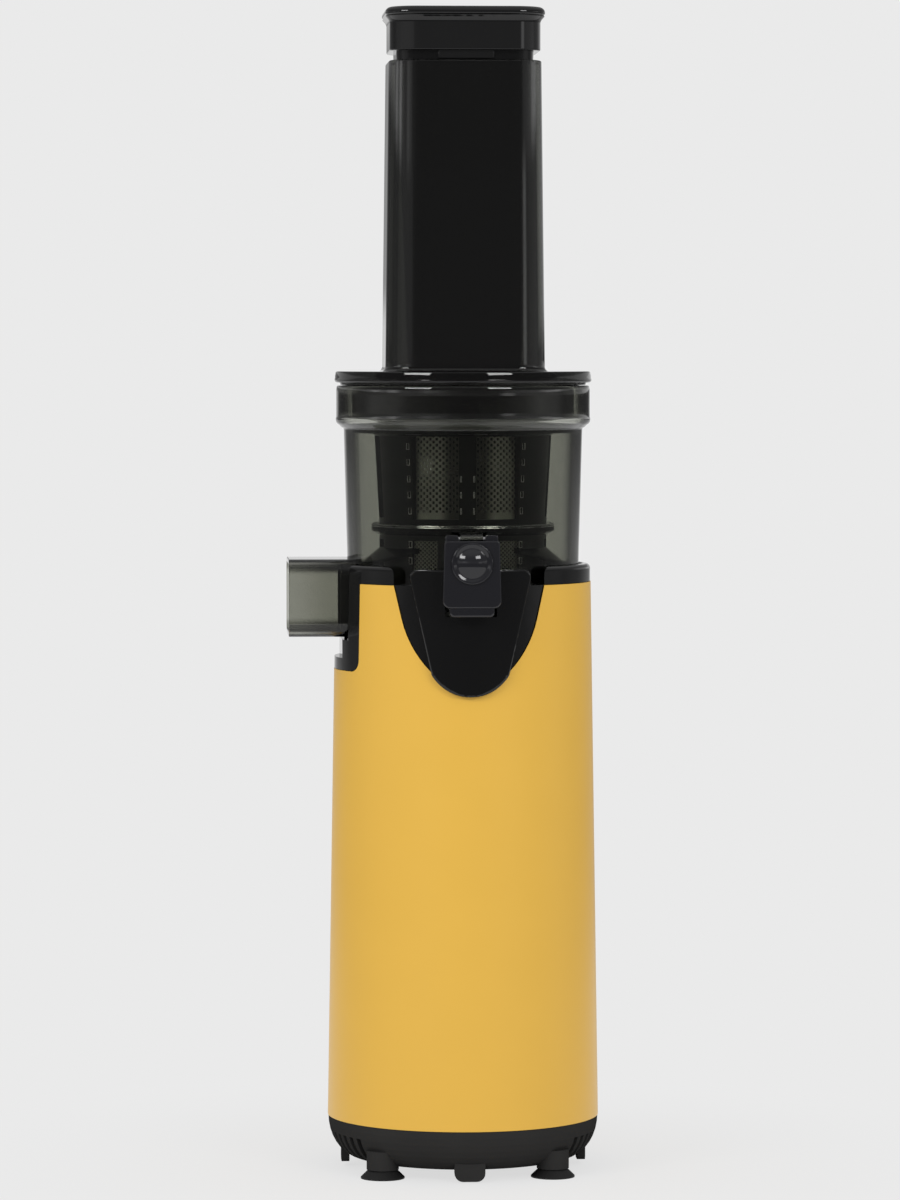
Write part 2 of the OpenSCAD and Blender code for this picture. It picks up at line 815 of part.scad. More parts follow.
module gearbox_cover() {
    color([0.5, 0.51, 0.53]) difference() {
        lugged_disc(cover_z);
        disc(9, [0, 200]);
        at_lugs() disc(screw_hole_r, [0, 200]);
    }
}

module gearbox_screws() {
    color([0.7, 0.7, 0.72]) at_lugs() translate([0, 0, plate_z[0] - 1.8])
        screw(1.8, 52);
}

module motor_screws() {
    color([0.7, 0.7, 0.72]) at_motor_screws() translate([0, 0, plate_z[1] + 1.8])
        mirror([0, 0, 1]) screw(1.8, 7.6);
}

module output_bearing() {
    color([0.75, 0.76, 0.78]) tube(9 - fit_gap / 2, shaft_r + run_gap, [cover_z[0] + 0.4, cover_z[1]]);
}

module shaft_seal() {
    color([0.5, 0.1, 0.08]) tube(9 - fit_gap / 2, shaft_r + run_gap, [seat_floor_z - 0.4, 187.4]);
}

module drive_coupling() {
    color([0.86, 0.86, 0.84]) difference() {
        disc(coupling_r, coupling_z);
        disc(shaft_r + 0.02, [coupling_z[0] - 1, coupling_z[0] + 2.3]);
        translate([0, 0, coupling_z[0] + 2.3])
            cylinder(r = (hex_across + 0.4) / 2 / cos(30), h = 20, $fn = 6);
    }
}

// ---------- bowl ----------

module bowl_profile() {
    t = bowl_t;
    polygon([
        [bowl_r_low - t, bowl_z], [bowl_r_low, bowl_z], [bowl_r_low, rim_z],
        [bowl_r_top, flare_z], [collar_r, collar_z[0]], [collar_r, collar_z[1]],
        [collar_r - collar_t, collar_z[1]], [collar_r - collar_t, collar_z[0] + 1.6],
        [bowl_r_top - t, flare_z + 0.4], [bowl_r_low - t, rim_z]
    ]);
}

module bowl_lugs() {
    for (k = [0:2]) intersection() {
        tube(collar_r - collar_t + 0.2, lid_neck_r + 0.4, bowl_lug_z);
        wedge(120 * k, lug_half_angle, 50, bowl_lug_z);
    }
}

// The solid that the bowl's outer surface bounds, under the collar
module bowl_outside() {
    rotate_extrude() polygon([[0, bowl_z], [bowl_r_low, bowl_z], [bowl_r_low, rim_z],
        [bowl_r_top, flare_z], [0, flare_z]]);
}

// Outer and inner blocks of the pulp channel, from under the floor to its mouth
module pulp_block(inset, from, to) {
    left_prism(from, to) translate([0, (pulp_z[0] + pulp_z[1]) / 2])
        rounded_rect([pulp_w - 2 * inset, pulp_z[1] - pulp_z[0] - 2 * inset], 5.5 - inset);
}

// The room inside the juice spout, and its hole in the bowl's wall
module juice_room() {
    low = bowl_floor_z + bowl_floor_t;
    high = spout_z[1] - spout_t;
    front_prism(bowl_r_low - 4, spout_face_y + 1) translate([0, (low + high) / 2])
        rounded_rect([spout_w - 2 * spout_t, high - low], 1.4);
}

module smoke() {
    color([0.25, 0.25, 0.23, 0.5]) children();
}

module juice_bowl() {
    smoke() difference() {
        union() {
            rotate_extrude() bowl_profile();
            bowl_lugs();
        }
        juice_room();
        // the pulp channel comes through here, under the floor
        intersection() {
            pulp_block(0, 30, 60);
            disc(60, [100, bowl_floor_z]);
        }
    }
}

module bowl_floor() {
    smoke() difference() {
        tube(bowl_r_low - bowl_t, boss_r, [bowl_floor_z, bowl_floor_z + bowl_floor_t]);
        translate([-pulp_hole_x, 0, 0]) disc(pulp_hole_r, [190, 220]);
    }
}

// The bearing for the auger's shaft, in the middle of the floor
module bowl_boss() {
    smoke() tube(boss_r, shaft_r + run_gap, boss_z);
}

module pulp_spout() {
    smoke() difference() {
        union() {
            difference() {
                pulp_block(0, 30, pulp_reach);
                bowl_outside();
            }
            intersection() {
                pulp_block(0, 11.5, bowl_r_low);
                disc(60, [100, bowl_floor_z]);
            }
        }
        difference() {
            pulp_block(pulp_t, 13.3, pulp_reach + 1);
            intersection() {
                bowl_outside();
                disc(60, [bowl_floor_z, 300]);
            }
        }
        translate([-bowl_r_low + 4, -13, pulp_z[0] - 1]) cube([24, 26, 4]);
    }
}

module juice_spout() {
    smoke() difference() {
        union() {
            difference() {
                front_prism(30, spout_face_y) translate([0, (spout_z[0] + spout_z[1]) / 2])
                    rounded_rect([spout_w, spout_z[1] - spout_z[0]], 3);
                bowl_outside();
            }
            translate([-4, -hinge_y, hinge_z]) rotate([0, 90, 0]) cylinder(r = knuckle_r, h = 8);
            translate([-4, -hinge_y - knuckle_r, spout_z[1] - 0.8]) cube([8, 2 * knuckle_r, 3]);
        }
        juice_room();
        translate([-20, -hinge_y, hinge_z]) rotate([0, 90, 0])
            cylinder(r = hinge_r + run_gap, h = 40);
    }
}

module bowl_seal() {
    color([0.55, 0.55, 0.55]) tube(boss_r, shaft_r + run_gap, [boss_z[1] + 0.02, boss_z[1] + 2]);
}

module pulp_plug() {
    color([0.6, 0.6, 0.6]) {
        translate([-bowl_r_low + 4.1, -12.9, pulp_z[0]]) cube([23.8, 25.8, 1.8]);
        translate([-bowl_r_low + 8, -3, pulp_z[0] - 3]) cube([14, 6, 3]);
    }
}

// ---------- strainer and auger ----------

module strainer_frame() {
    color([0.06, 0.06, 0.06]) difference() {
        rotate_extrude() polygon([
            [frame_r_in, frame_z[0]], [frame_r_low, frame_z[0]],
            [frame_r_low, frame_flange_z[0]], [frame_flange_r, frame_flange_z[0] + 0.9],
            [frame_flange_r, frame_flange_z[1]], [frame_r_low, frame_flange_z[1]],
            [frame_r_top, frame_z[1]], [frame_r_in, frame_z[1]]
        ]);
        for (w = window_list, z = [lower_windows_z, upper_windows_z])
            radial_block(w[0] - 90, [20, 50], 2 * 30 * sin(w[1]), z);
    }
}

// The strainer's floor, over the boss and the pulp hole of the bowl
module strainer_base() {
    color([0.06, 0.06, 0.06]) difference() {
        disc(frame_r_in, [frame_z[0], frame_z[0] + 2]);
        disc(boss_r + 0.9, [200, 230]);
        translate([-pulp_hole_x, 0, 0]) disc(pulp_hole_r, [200, 230]);
    }
}

module strainer_screen() {
    color([0.55, 0.55, 0.5])
        tube(screen_r + screen_t, screen_r, [frame_z[0] + 2.1, frame_z[1] - 1]);
}

// Section of one of the auger's flights; the core hides its foot
module flight_section() {
    polygon([[5, -3.6], each arc([0, 0], auger_r, auger_r, -4, 4, 2), [5, 3.6]]);
}

module auger_screw() {
    height = auger_z[1] - auger_z[0];
    color([0.1, 0.1, 0.1]) difference() {
        union() {
            rotate_extrude($fn = 48) polygon([
                [0, auger_z[0]], [auger_skirt_r, auger_z[0]], [auger_skirt_r, auger_z[0] + 4],
                [auger_core_r, 238], [auger_core_r - 3.5, auger_z[1]],
                each arc([0, auger_tip_z - 6], 6, 6, 0, 90, 4)
            ]);
            for (start = [0, 180]) rotate([0, 0, start]) translate([0, 0, auger_z[0]])
                linear_extrude(height, twist = -360 * auger_turns, slices = 40, segments = 8)
                    flight_section();
        }
        disc(boss_r + 1, [200, boss_z[1] + 3]);
        disc(shaft_r + 0.02, [200, 232]);
    }
}

module auger_shaft() {
    color([0.78, 0.79, 0.8]) {
        disc(shaft_r, [202, 231.5]);
        translate([0, 0, 191]) cylinder(r = hex_across / 2 / cos(30), h = 12, $fn = 6);
    }
}

// ---------- juice spout cap ----------

module spout_cap() {
    plate_y = spout_face_y + move_gap;
    plate_t = 2.6;
    z = [206, 231.4];
    color([0.11, 0.11, 0.12]) difference() {
        union() {
            front_prism(plate_y, plate_y + plate_t) polygon([
                each arc([7.6, z[0] + 2.6], 2.5, 2.5, -90, 0, 5), [9.4, z[1]], [-9.4, z[1]],
                each arc([-7.6, z[0] + 2.6], 2.5, 2.5, 180, 270, 5)
            ]);
            // finger lip under the plate
            front_prism(plate_y, plate_y + plate_t - 0.7) translate([0, z[0] - 0.4])
                rounded_rect([15.8, 5.6], 1.7);
            translate([0, -plate_y - plate_t, 222.6]) rotate([90, 0, 0])
                cylinder(r1 = 7.3, r2 = 5.4, h = 1.9);
            for (side = [-1, 1]) translate([side * 7 - 2.3, -plate_y - 1, hinge_z - 1.6])
                cube([4.6, plate_y - hinge_y + 2.5, 3.2]);
        }
        translate([-20, -hinge_y, hinge_z]) rotate([0, 90, 0])
            cylinder(r = hinge_r + run_gap, h = 40);
    }
}

module cap_seal() {
    color([0.5, 0.5, 0.5]) front_prism(spout_face_y - 1.1, spout_face_y + move_gap)
        translate([0, 215.6]) rounded_rect([10.6, 16], 1.4);
}

module cap_hinge_pin() {
    color([0.7, 0.7, 0.72]) translate([-9.3, -hinge_y, hinge_z]) rotate([0, 90, 0])
        cylinder(r = hinge_r, h = 18.6);
}

// ---------- lid and pusher ----------

module lid_gasket() {
    color([0.6, 0.6, 0.6]) tube(gasket_r[1], gasket_r[0], gasket_z);
}

// Outer outline of the feed chute where it meets the lid
function chute_foot() = [chute_w + chute_draft, chute_d + chute_draft];

module dark_smoke() {
    color([0.2, 0.2, 0.2, 0.6]) children();
}

module lid_disc() {
    dark_smoke() difference() {
        rotate_extrude() polygon([
            [0, lid_z[0]], [lid_r - 0.8, lid_z[0]], [lid_r, lid_z[0] + 0.8],
            [lid_r, lid_z[1] - 0.8], [lid_r - 0.8, lid_z[1]], [0, lid_z[1]]
        ]);
        translate([0, 0, lid_z[0] - 1]) linear_extrude(10)
            rounded_rect(chute_foot() - 2 * [chute_t, chute_t], chute_corner_r - 1);
    }
}

module lid_skirt() {
    groove_r = gasket_r[0] - move_gap;
    dark_smoke() rotate_extrude() polygon([
        [lid_skirt_in_r, lid_lip_z], [lid_lip_r, lid_lip_z], [lid_lip_r, gasket_z[0] - move_gap],
        [groove_r, gasket_z[0] - move_gap], [groove_r, lid_neck_z], [lid_neck_r, lid_neck_z],
        [lid_neck_r, lid_z[0]], [lid_skirt_in_r, lid_z[0]]
    ]);
    dark_smoke() for (k = [0:2]) intersection() {
        tube(lid_lug_r, lid_neck_r - 0.3, lid_lug_z);
        wedge(120 * k + lug_turn, lug_half_angle, 50, lid_lug_z);
    }
}

module feed_chute() {
    wall = 2 * [chute_t, chute_t];
    top = [chute_w, chute_d];
    dark_smoke() difference() {
        drafted_box([lid_z[1], chute_top_z], chute_foot(), top,
            chute_corner_r + 1, chute_corner_r);
        drafted_box([lid_z[1] - 0.02, chute_top_z + 0.02], chute_foot() - wall, top - wall,
            chute_corner_r - 1, chute_corner_r - chute_t);
    }
}

module food_pusher() {
    flange = [chute_w + 2.6, chute_d + 2.6];
    pusher_flange_h = pusher_flange_z[1] - pusher_flange_z[0];
    collar = [chute_w - 0.7, chute_d - 0.7];
    t2 = 2 * pusher_t;
    r = chute_corner_r;
    color([0.03, 0.03, 0.03]) difference() {
        union() {
            translate([0, 0, pusher_flange_z[0]]) linear_extrude(pusher_flange_h - 2)
                rounded_rect(flange, r + 1);
            drafted_box([pusher_flange_z[1] - 2.2, pusher_flange_z[1]], flange - [0.1, 0.1],
                flange - [4, 4], r + 1, r);
            translate([0, 0, pusher_collar_z]) linear_extrude(pusher_flange_z[0] - pusher_collar_z + 1)
                rounded_rect(collar, r);
            drafted_box([pusher_end_z, pusher_collar_z + 0.5], pusher_end, pusher_top, 6, 8);
            // ribs that stand on the chute's rim
            for (side = [-1, 1]) translate([-12, side * (chute_d / 2 - 2.2) - 1.6, chute_top_z + 0.3])
                cube([24, 3.2, pusher_collar_z - chute_top_z]);
        }
        drafted_box([pusher_end_z + 2.5, pusher_flange_z[1] + 0.1], pusher_end - [t2, t2],
            [50, 40], 4.5, 7);
    }
}

// ---------- the parts ----------

body_shell();
boss_ring();
seat_housing();
spout_apron();
base_cover();
suction_feet();
base_screws();
cord_gland();
switch_housing();
switch_rocker();
control_board();
internal_wiring();
motor_can();
motor_end_cap();
motor_magnets();
motor_bearings();
rotor_core();
rotor_shaft();
motor_pinion();
cooling_fan();
gearbox_plate();
ring_gear();
gearbox_cover();
gearbox_screws();
motor_screws();
first_carrier();
first_planet(1);  // first_planet_1
first_planet(2);  // first_planet_2
first_planet(3);  // first_planet_3
planet_pins(first_gear_z, first_plate_z);  // first_planet_pins
output_carrier();
second_planet(1);  // second_planet_1
second_planet(2);  // second_planet_2
second_planet(3);  // second_planet_3
planet_pins(second_gear_z, second_plate_z);  // second_planet_pins
output_bearing();
shaft_seal();
drive_coupling();
juice_bowl();
bowl_floor();
bowl_boss();
pulp_spout();
juice_spout();
bowl_seal();
pulp_plug();
strainer_frame();
strainer_base();
strainer_screen();
auger_screw();
auger_shaft();
spout_cap();
cap_seal();
cap_hinge_pin();
lid_gasket();
lid_disc();
lid_skirt();
feed_chute();
food_pusher();
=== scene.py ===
"""Looks of an upright cold press juicer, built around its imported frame.

Sizes are in millimetres until a mesh is made. The origin is on the table, on the auger's
axis; the juice spout faces -Y and the pulp spout faces -X. Turns round the axis are measured
from the front (-Y) towards +X.
"""
from __future__ import annotations

import logging
import math
from dataclasses import dataclass
from enum import Enum

import bmesh
import bpy
import numpy as np
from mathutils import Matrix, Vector


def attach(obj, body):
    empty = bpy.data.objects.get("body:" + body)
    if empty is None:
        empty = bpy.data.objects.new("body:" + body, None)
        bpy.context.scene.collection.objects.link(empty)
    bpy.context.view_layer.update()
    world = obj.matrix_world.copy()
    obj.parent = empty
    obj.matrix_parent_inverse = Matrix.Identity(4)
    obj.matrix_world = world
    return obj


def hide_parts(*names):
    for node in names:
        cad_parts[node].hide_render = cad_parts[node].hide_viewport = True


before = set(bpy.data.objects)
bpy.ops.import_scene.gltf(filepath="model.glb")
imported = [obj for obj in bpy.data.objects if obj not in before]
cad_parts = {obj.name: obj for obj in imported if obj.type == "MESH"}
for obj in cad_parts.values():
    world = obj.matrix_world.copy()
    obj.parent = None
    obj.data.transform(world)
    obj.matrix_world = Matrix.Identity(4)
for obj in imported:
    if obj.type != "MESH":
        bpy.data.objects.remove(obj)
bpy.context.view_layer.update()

log = logging.getLogger("juicer")
MM = 0.001
Array = np.ndarray
Colour = tuple[float, float, float]
Pair = tuple[float, float]
FULL_TURN = 2 * np.pi
LEFT_SIDE = 1.5 * np.pi  # turn of the pulp spout
STRAIGHT = 0.99999  # cosine past which a corner counts as straight
SHARPEST = 0.01  # smallest radius of a rounded corner
DOUBLES = 2e-6  # points nearer than this, in metres, are merged
DRUM_R = 28.7  # radius of the perforated drum
LUG_HALF = 12  # half the angle that a bayonet lug takes up, in degrees


class Axis(Enum):
    """Which way a profile or an outline is turned when it becomes a solid."""

    UP = "up"
    FRONT = "front"
    LEFT = "left"


# ---------- surfaces ----------


def grid_faces(rows: int, columns: int, close_rows: bool, close_columns: bool) -> Array:
    """Four-sided faces between neighbours on a grid of points.

    Each face joins point (i, j) to (i, j + 1), (i + 1, j + 1) and (i + 1, j).

    Args:
        rows: Number of rows of points.
        columns: Number of points in a row.
        close_rows: Whether the last row joins the first.
        close_columns: Whether the last point of a row joins its first.

    Returns:
        An array of point numbers, four to a face.
    """
    index = np.arange(rows * columns).reshape(rows, columns)
    if close_rows:
        index = np.vstack([index, index[:1]])
    if close_columns:
        index = np.hstack([index, index[:, :1]])
    corners = [index[:-1, :-1], index[:-1, 1:], index[1:, 1:], index[1:, :-1]]
    return np.stack(corners, -1).reshape(-1, 4)


@dataclass
class Solid:
    """Points in millimetres and the faces that close them."""

    points: Array
    faces: list[list[int]]

    def __add__(self, other: Solid) -> Solid:
        """Both solids in one mesh, each with its own points."""
        shift = len(self.points)
        moved = [[i + shift for i in face] for face in other.faces]
        return Solid(np.vstack([self.points, other.points]), self.faces + moved)


def from_grid(grid: Array, close_rows: bool = False, caps: bool = False) -> Solid:
    """A solid whose rows are closed loops.

    Args:
        grid: Points as rows, columns and three coordinates.
        close_rows: Whether the last loop joins the first, as in a ring.
        caps: Whether the first and last loops are closed with flat faces.

    Returns:
        The solid.
    """
    rows, columns = grid.shape[:2]
    faces = grid_faces(rows, columns, close_rows, True).tolist()
    if caps:
        last = (rows - 1) * columns
        faces += [list(range(columns))[::-1], list(range(last, last + columns))]
    return Solid(grid.reshape(-1, 3), faces)


def joined(solids: list[Solid]) -> Solid:
    """All the solids in one mesh, in their order."""
    return sum(solids[1:], solids[0])


def all_round(columns: int, start: float = 0.0) -> Array:
    """Angles spread evenly over a full turn."""
    return np.linspace(start, start + FULL_TURN, columns, endpoint=False)


def quarter(count: int) -> Array:
    """Angles spread evenly over a quarter of a turn, both ends included."""
    return np.linspace(0, np.pi / 2, count)


def apart(angles: Array, other: Array | float) -> Array:
    """The smaller angle between two directions."""
    return np.abs((angles - other + np.pi) % FULL_TURN - np.pi)


def halfway(heights: Array) -> Array:
    """Middle of each step between heights, as a column."""
    return ((heights[1:] + heights[:-1]) / 2)[:, None]


def turns_with(count: int, edges: Array, gap: float) -> Array:
    """Angles of the columns round a wall whose openings begin and end exactly on a column.

    Args:
        count: Number of even angles to start from.
        edges: Angles where an opening begins or ends.
        gap: An even angle nearer than this to an edge is left out.

    Returns:
        The angles in order.
    """
    edges = edges % FULL_TURN
    even = all_round(count)
    near = apart(even[:, None], edges[None]).min(1)
    return np.sort(np.concatenate([even[near > gap], edges]))


def cell_turns(angles: Array) -> Array:
    """Middle of each step between angles that go all the way round."""
    return angles + (np.append(angles[1:], angles[0] + FULL_TURN) - angles) / 2


def oblong(left: float, right: float, low: float, high: float) -> Array:
    """Corners of a rectangle, anticlockwise from the lower left."""
    return np.array([[left, low], [right, low], [right, high], [left, high]])


def corner_ways(points: Array) -> tuple[Array, Array, Array, Array]:
    """Directions at each corner of a closed outline.

    Args:
        points: Corners in order, in two coordinates.

    Returns:
        Unit directions to the last and to the next corner, the unit bisector of the two, and
        half the angle between them.
    """
    u, v = np.roll(points, 1, 0) - points, np.roll(points, -1, 0) - points
    u /= np.linalg.norm(u, axis=1, keepdims=True)
    v /= np.linalg.norm(v, axis=1, keepdims=True)
    half = np.arccos(np.clip((u * v).sum(1), -STRAIGHT, STRAIGHT)) / 2
    return u, v, (u + v) / np.linalg.norm(u + v, axis=1, keepdims=True), half


def rounded(points: Array, radii: Array | float, steps: int = 5) -> Array:
    """A closed outline with its corners rounded.

    At a corner with unit directions u and v to its neighbours and half angle h, the arc's
    centre lies r / sin(h) along their bisector, and its points turn evenly from the touching
    point on one side to that on the other.

    Args:
        points: Corners in order, in two coordinates.
        radii: One radius, or one for each corner.
        steps: Number of chords in each arc.

    Returns:
        The rounded outline, steps + 1 points for each corner.
    """
    p = np.asarray(points, float)
    u, v, bisector, half = corner_ways(p)
    r = np.maximum(np.broadcast_to(np.asarray(radii, float), (len(p),)), SHARPEST)
    centre = p + bisector * (r / np.sin(half))[:, None]
    reach = (r / np.tan(half))[:, None]
    start, end = p + u * reach - centre, p + v * reach - centre
    w = (np.pi - 2 * half)[:, None, None]
    s = np.linspace(0, 1, steps + 1)[None, :, None]
    turn = (np.sin((1 - s) * w) * start[:, None] + np.sin(s * w) * end[:, None]) / np.sin(w)
    return (centre[:, None] + turn).reshape(-1, 2)


def around(radius: Array, angles: Array, height: Array) -> Array:
    """Points at a distance from the axis: x = r sin(a), y = -r cos(a), z = height."""
    radius, angles, height = np.broadcast_arrays(radius, angles, height)
    return np.stack([radius * np.sin(angles), -radius * np.cos(angles), height], -1)


def revolve(profile: Array, columns: int = 160) -> Solid:
    """A ring: a closed profile of distance and height, carried once round the axis."""
    p = np.asarray(profile, float)
    return from_grid(around(p[:, :1], all_round(columns)[None], p[:, 1:]), close_rows=True)


def turned(profile: Array, columns: int = 96) -> Solid:
    """A turned piece without a hole: an open profile whose ends are capped flat."""
    p = np.asarray(profile, float)
    return from_grid(around(p[:, :1], all_round(columns)[None], p[:, 1:]), caps=True)


def box_radius(width: float, depth: float, corner: float, angles: Array) -> Array:
    """Distance from the axis to a rounded rectangle's edge, for each angle.

    A dense outline of the rectangle is read off by its own angle from the front.

    Args:
        width: Size along X.
        depth: Size along Y.
        corner: Radius of the corners.
        angles: Angles from the front, rising, in radians.

    Returns:
        One distance for each angle.
    """
    x, y = width / 2, depth / 2
    corners = rounded(np.array([[x, y], [-x, y], [-x, -y], [x, -y]]), corner, 40)
    ends = np.vstack([corners, corners[:1]])
    share = np.linspace(0, 1, 9)[:-1, None, None]
    dense = (ends[:-1][None] * (1 - share) + ends[1:][None] * share).reshape(-1, 2)
    turn = np.arctan2(dense[:, 0], -dense[:, 1])
    order = np.argsort(turn)
    return np.interp(angles, turn[order], np.hypot(dense[:, 0], dense[:, 1])[order],
                     period=FULL_TURN)


def shell(outer: Array, inner: Array, keep: Array, wrap: bool) -> Solid:
    """A wall between two grids of points, with some of its cells left open.

    Every kept cell has an outer and an inner face. Where a kept cell borders an open one, or
    the edge of the grid, a face joins the two grids across the wall.

    Args:
        outer: Points of the outer face; rows rise and columns turn towards +X.
        inner: Points of the inner face, in the same order.
        keep: True for each cell that is solid.
        wrap: Whether the columns go all the way round.

    Returns:
        The wall, closed along every opening.
    """
    rows, columns = outer.shape[:2]
    n = rows * columns
    index = np.arange(n).reshape(rows, columns)
    left = index if wrap else index[:, :-1]
    right = np.roll(index, -1, 1) if wrap else index[:, 1:]
    a, b, c, d = left[:-1], right[:-1], right[1:], left[1:]
    none = np.zeros((1, keep.shape[1]), bool)
    above, below = np.vstack([keep[1:], none]), np.vstack([none, keep[:-1]])
    after, before = np.roll(keep, -1, 1), np.roll(keep, 1, 1)
    if not wrap:
        after[:, -1] = False
        before[:, 0] = False
    quads = [
        (keep, (a, b, c, d)), (keep, (d + n, c + n, b + n, a + n)),
        (keep & ~above, (d, c, c + n, d + n)), (keep & ~below, (b, a, a + n, b + n)),
        (keep & ~after, (c, b, b + n, c + n)), (keep & ~before, (a, d, d + n, a + n)),
    ]
    faces = np.vstack([np.stack(q, -1)[mask] for mask, q in quads])
    used, renumbered = np.unique(faces, return_inverse=True)
    points = np.vstack([outer.reshape(-1, 3), inner.reshape(-1, 3)])[used]
    return Solid(points, renumbered.reshape(-1, 4).tolist())


def arc_block(radii: Pair, heights: Pair, span: Pair, columns: int = 14) -> Solid:
    """A block bent round the axis: a patch of wall between two distances and two heights."""
    angles = np.radians(np.linspace(span[0], span[1], columns))[None]
    z = np.linspace(heights[0], heights[1], 3)[:, None]
    keep = np.ones((2, columns - 1), bool)
    return shell(around(radii[1], angles, z), around(radii[0], angles, z), keep, False)


def three_lugs(radii: Pair, heights: Pair, first: float) -> Solid:
    """Three blocks a third of a turn apart, the first so many degrees from the right."""
    middles = [first + 90 + third for third in (0, 120, 240)]
    return joined([arc_block(radii, heights, (a - LUG_HALF, a + LUG_HALF)) for a in middles])


def slab(outline: Array, radii: Array | float, near: float, far: float, edge: float,
         shrink_near: bool = False) -> Solid:
    """A plate facing the front whose far edge is rounded over.

    The outline is lofted from the near side to the far side; over the last stretch it is
    brought in along a quarter circle, by giving its corners a smaller radius and place.

    Args:
        outline: Corners as X and Z, anticlockwise seen from the front.
        radii: Corner radii.
        near: Distance from the axis to the back face.
        far: Distance from the axis to the front face.
        edge: Radius of the rounded edge.
        shrink_near: Whether the back edge is rounded too.

    Returns:
        The plate.
    """
    t = quarter(5)
    insets = np.concatenate([[0.0] if not shrink_near else edge * (1 - np.sin(t)),
                             edge * (1 - np.cos(t))])
    depths = np.concatenate([[near] if not shrink_near else near + edge * (1 - np.cos(t)),
                             far - edge + edge * np.sin(t)])
    p = np.asarray(outline, float)
    _, _, bisector, half = corner_ways(p)
    inward = bisector / np.sin(half)[:, None]
    rings = [rounded(p + inward * inset, np.maximum(np.asarray(radii) - inset, 0.05), 6)
             for inset in insets]
    flat = np.stack(rings)
    grid = np.stack([flat[..., 0], np.broadcast_to(-depths[:, None], flat.shape[:2]),
                     flat[..., 1]], -1)
    return from_grid(grid, caps=True)


def tilt(solid: Solid, axis: Axis, centre: tuple[float, float, float]) -> Solid:
    """Turns a solid made upright so that its top points along an axis, and moves it.

    Args:
        solid: The solid, standing on the origin.
        axis: Where its top goes: up, to the front or to the left.
        centre: Where the origin goes.

    Returns:
        The turned solid.
    """
    x, y, z = solid.points.T
    ways = {Axis.UP: (x, y, z), Axis.FRONT: (x, -z, y), Axis.LEFT: (-z, -x, y)}
    return Solid(np.stack(ways[axis], 1) + np.array(centre), solid.faces)


def piece(name: str, solid: Solid, crease: float = 38.0, bevel: float = 0.0) -> bpy.types.Object:
    """Makes a solid an object of the scene.

    Args:
        name: The piece's name.
        solid: Points in millimetres and closed faces.
        crease: Angle, in degrees, past which an edge stays sharp.
        bevel: Width of the rounding put on sharp edges, or 0.

    Returns:
        The object, at the origin and unturned.
    """
    mesh = bpy.data.meshes.new(name)
    mesh.from_pydata((solid.points * MM).tolist(), [], solid.faces)
    work = bmesh.new()
    work.from_mesh(mesh)
    bmesh.ops.remove_doubles(work, verts=work.verts, dist=DOUBLES)
    bmesh.ops.recalc_face_normals(work, faces=work.faces)
    work.to_mesh(mesh)
    work.free()
    mesh.shade_smooth()
    mesh.set_sharp_from_angle(angle=math.radians(crease))
    made = bpy.data.objects.new(name, mesh)
    bpy.context.scene.collection.objects.link(made)
    weigh = made.modifiers.new("flat faces", "WEIGHTED_NORMAL")
    weigh.keep_sharp = True
    if bevel:
        rounding = made.modifiers.new("edges", "BEVEL")
        rounding.width = bevel * MM
        rounding.segments = 2
        rounding.limit_method = "ANGLE"
        rounding.angle_limit = math.radians(crease)
        made.modifiers.move(1, 0)
    return made


# ---------- finishes ----------


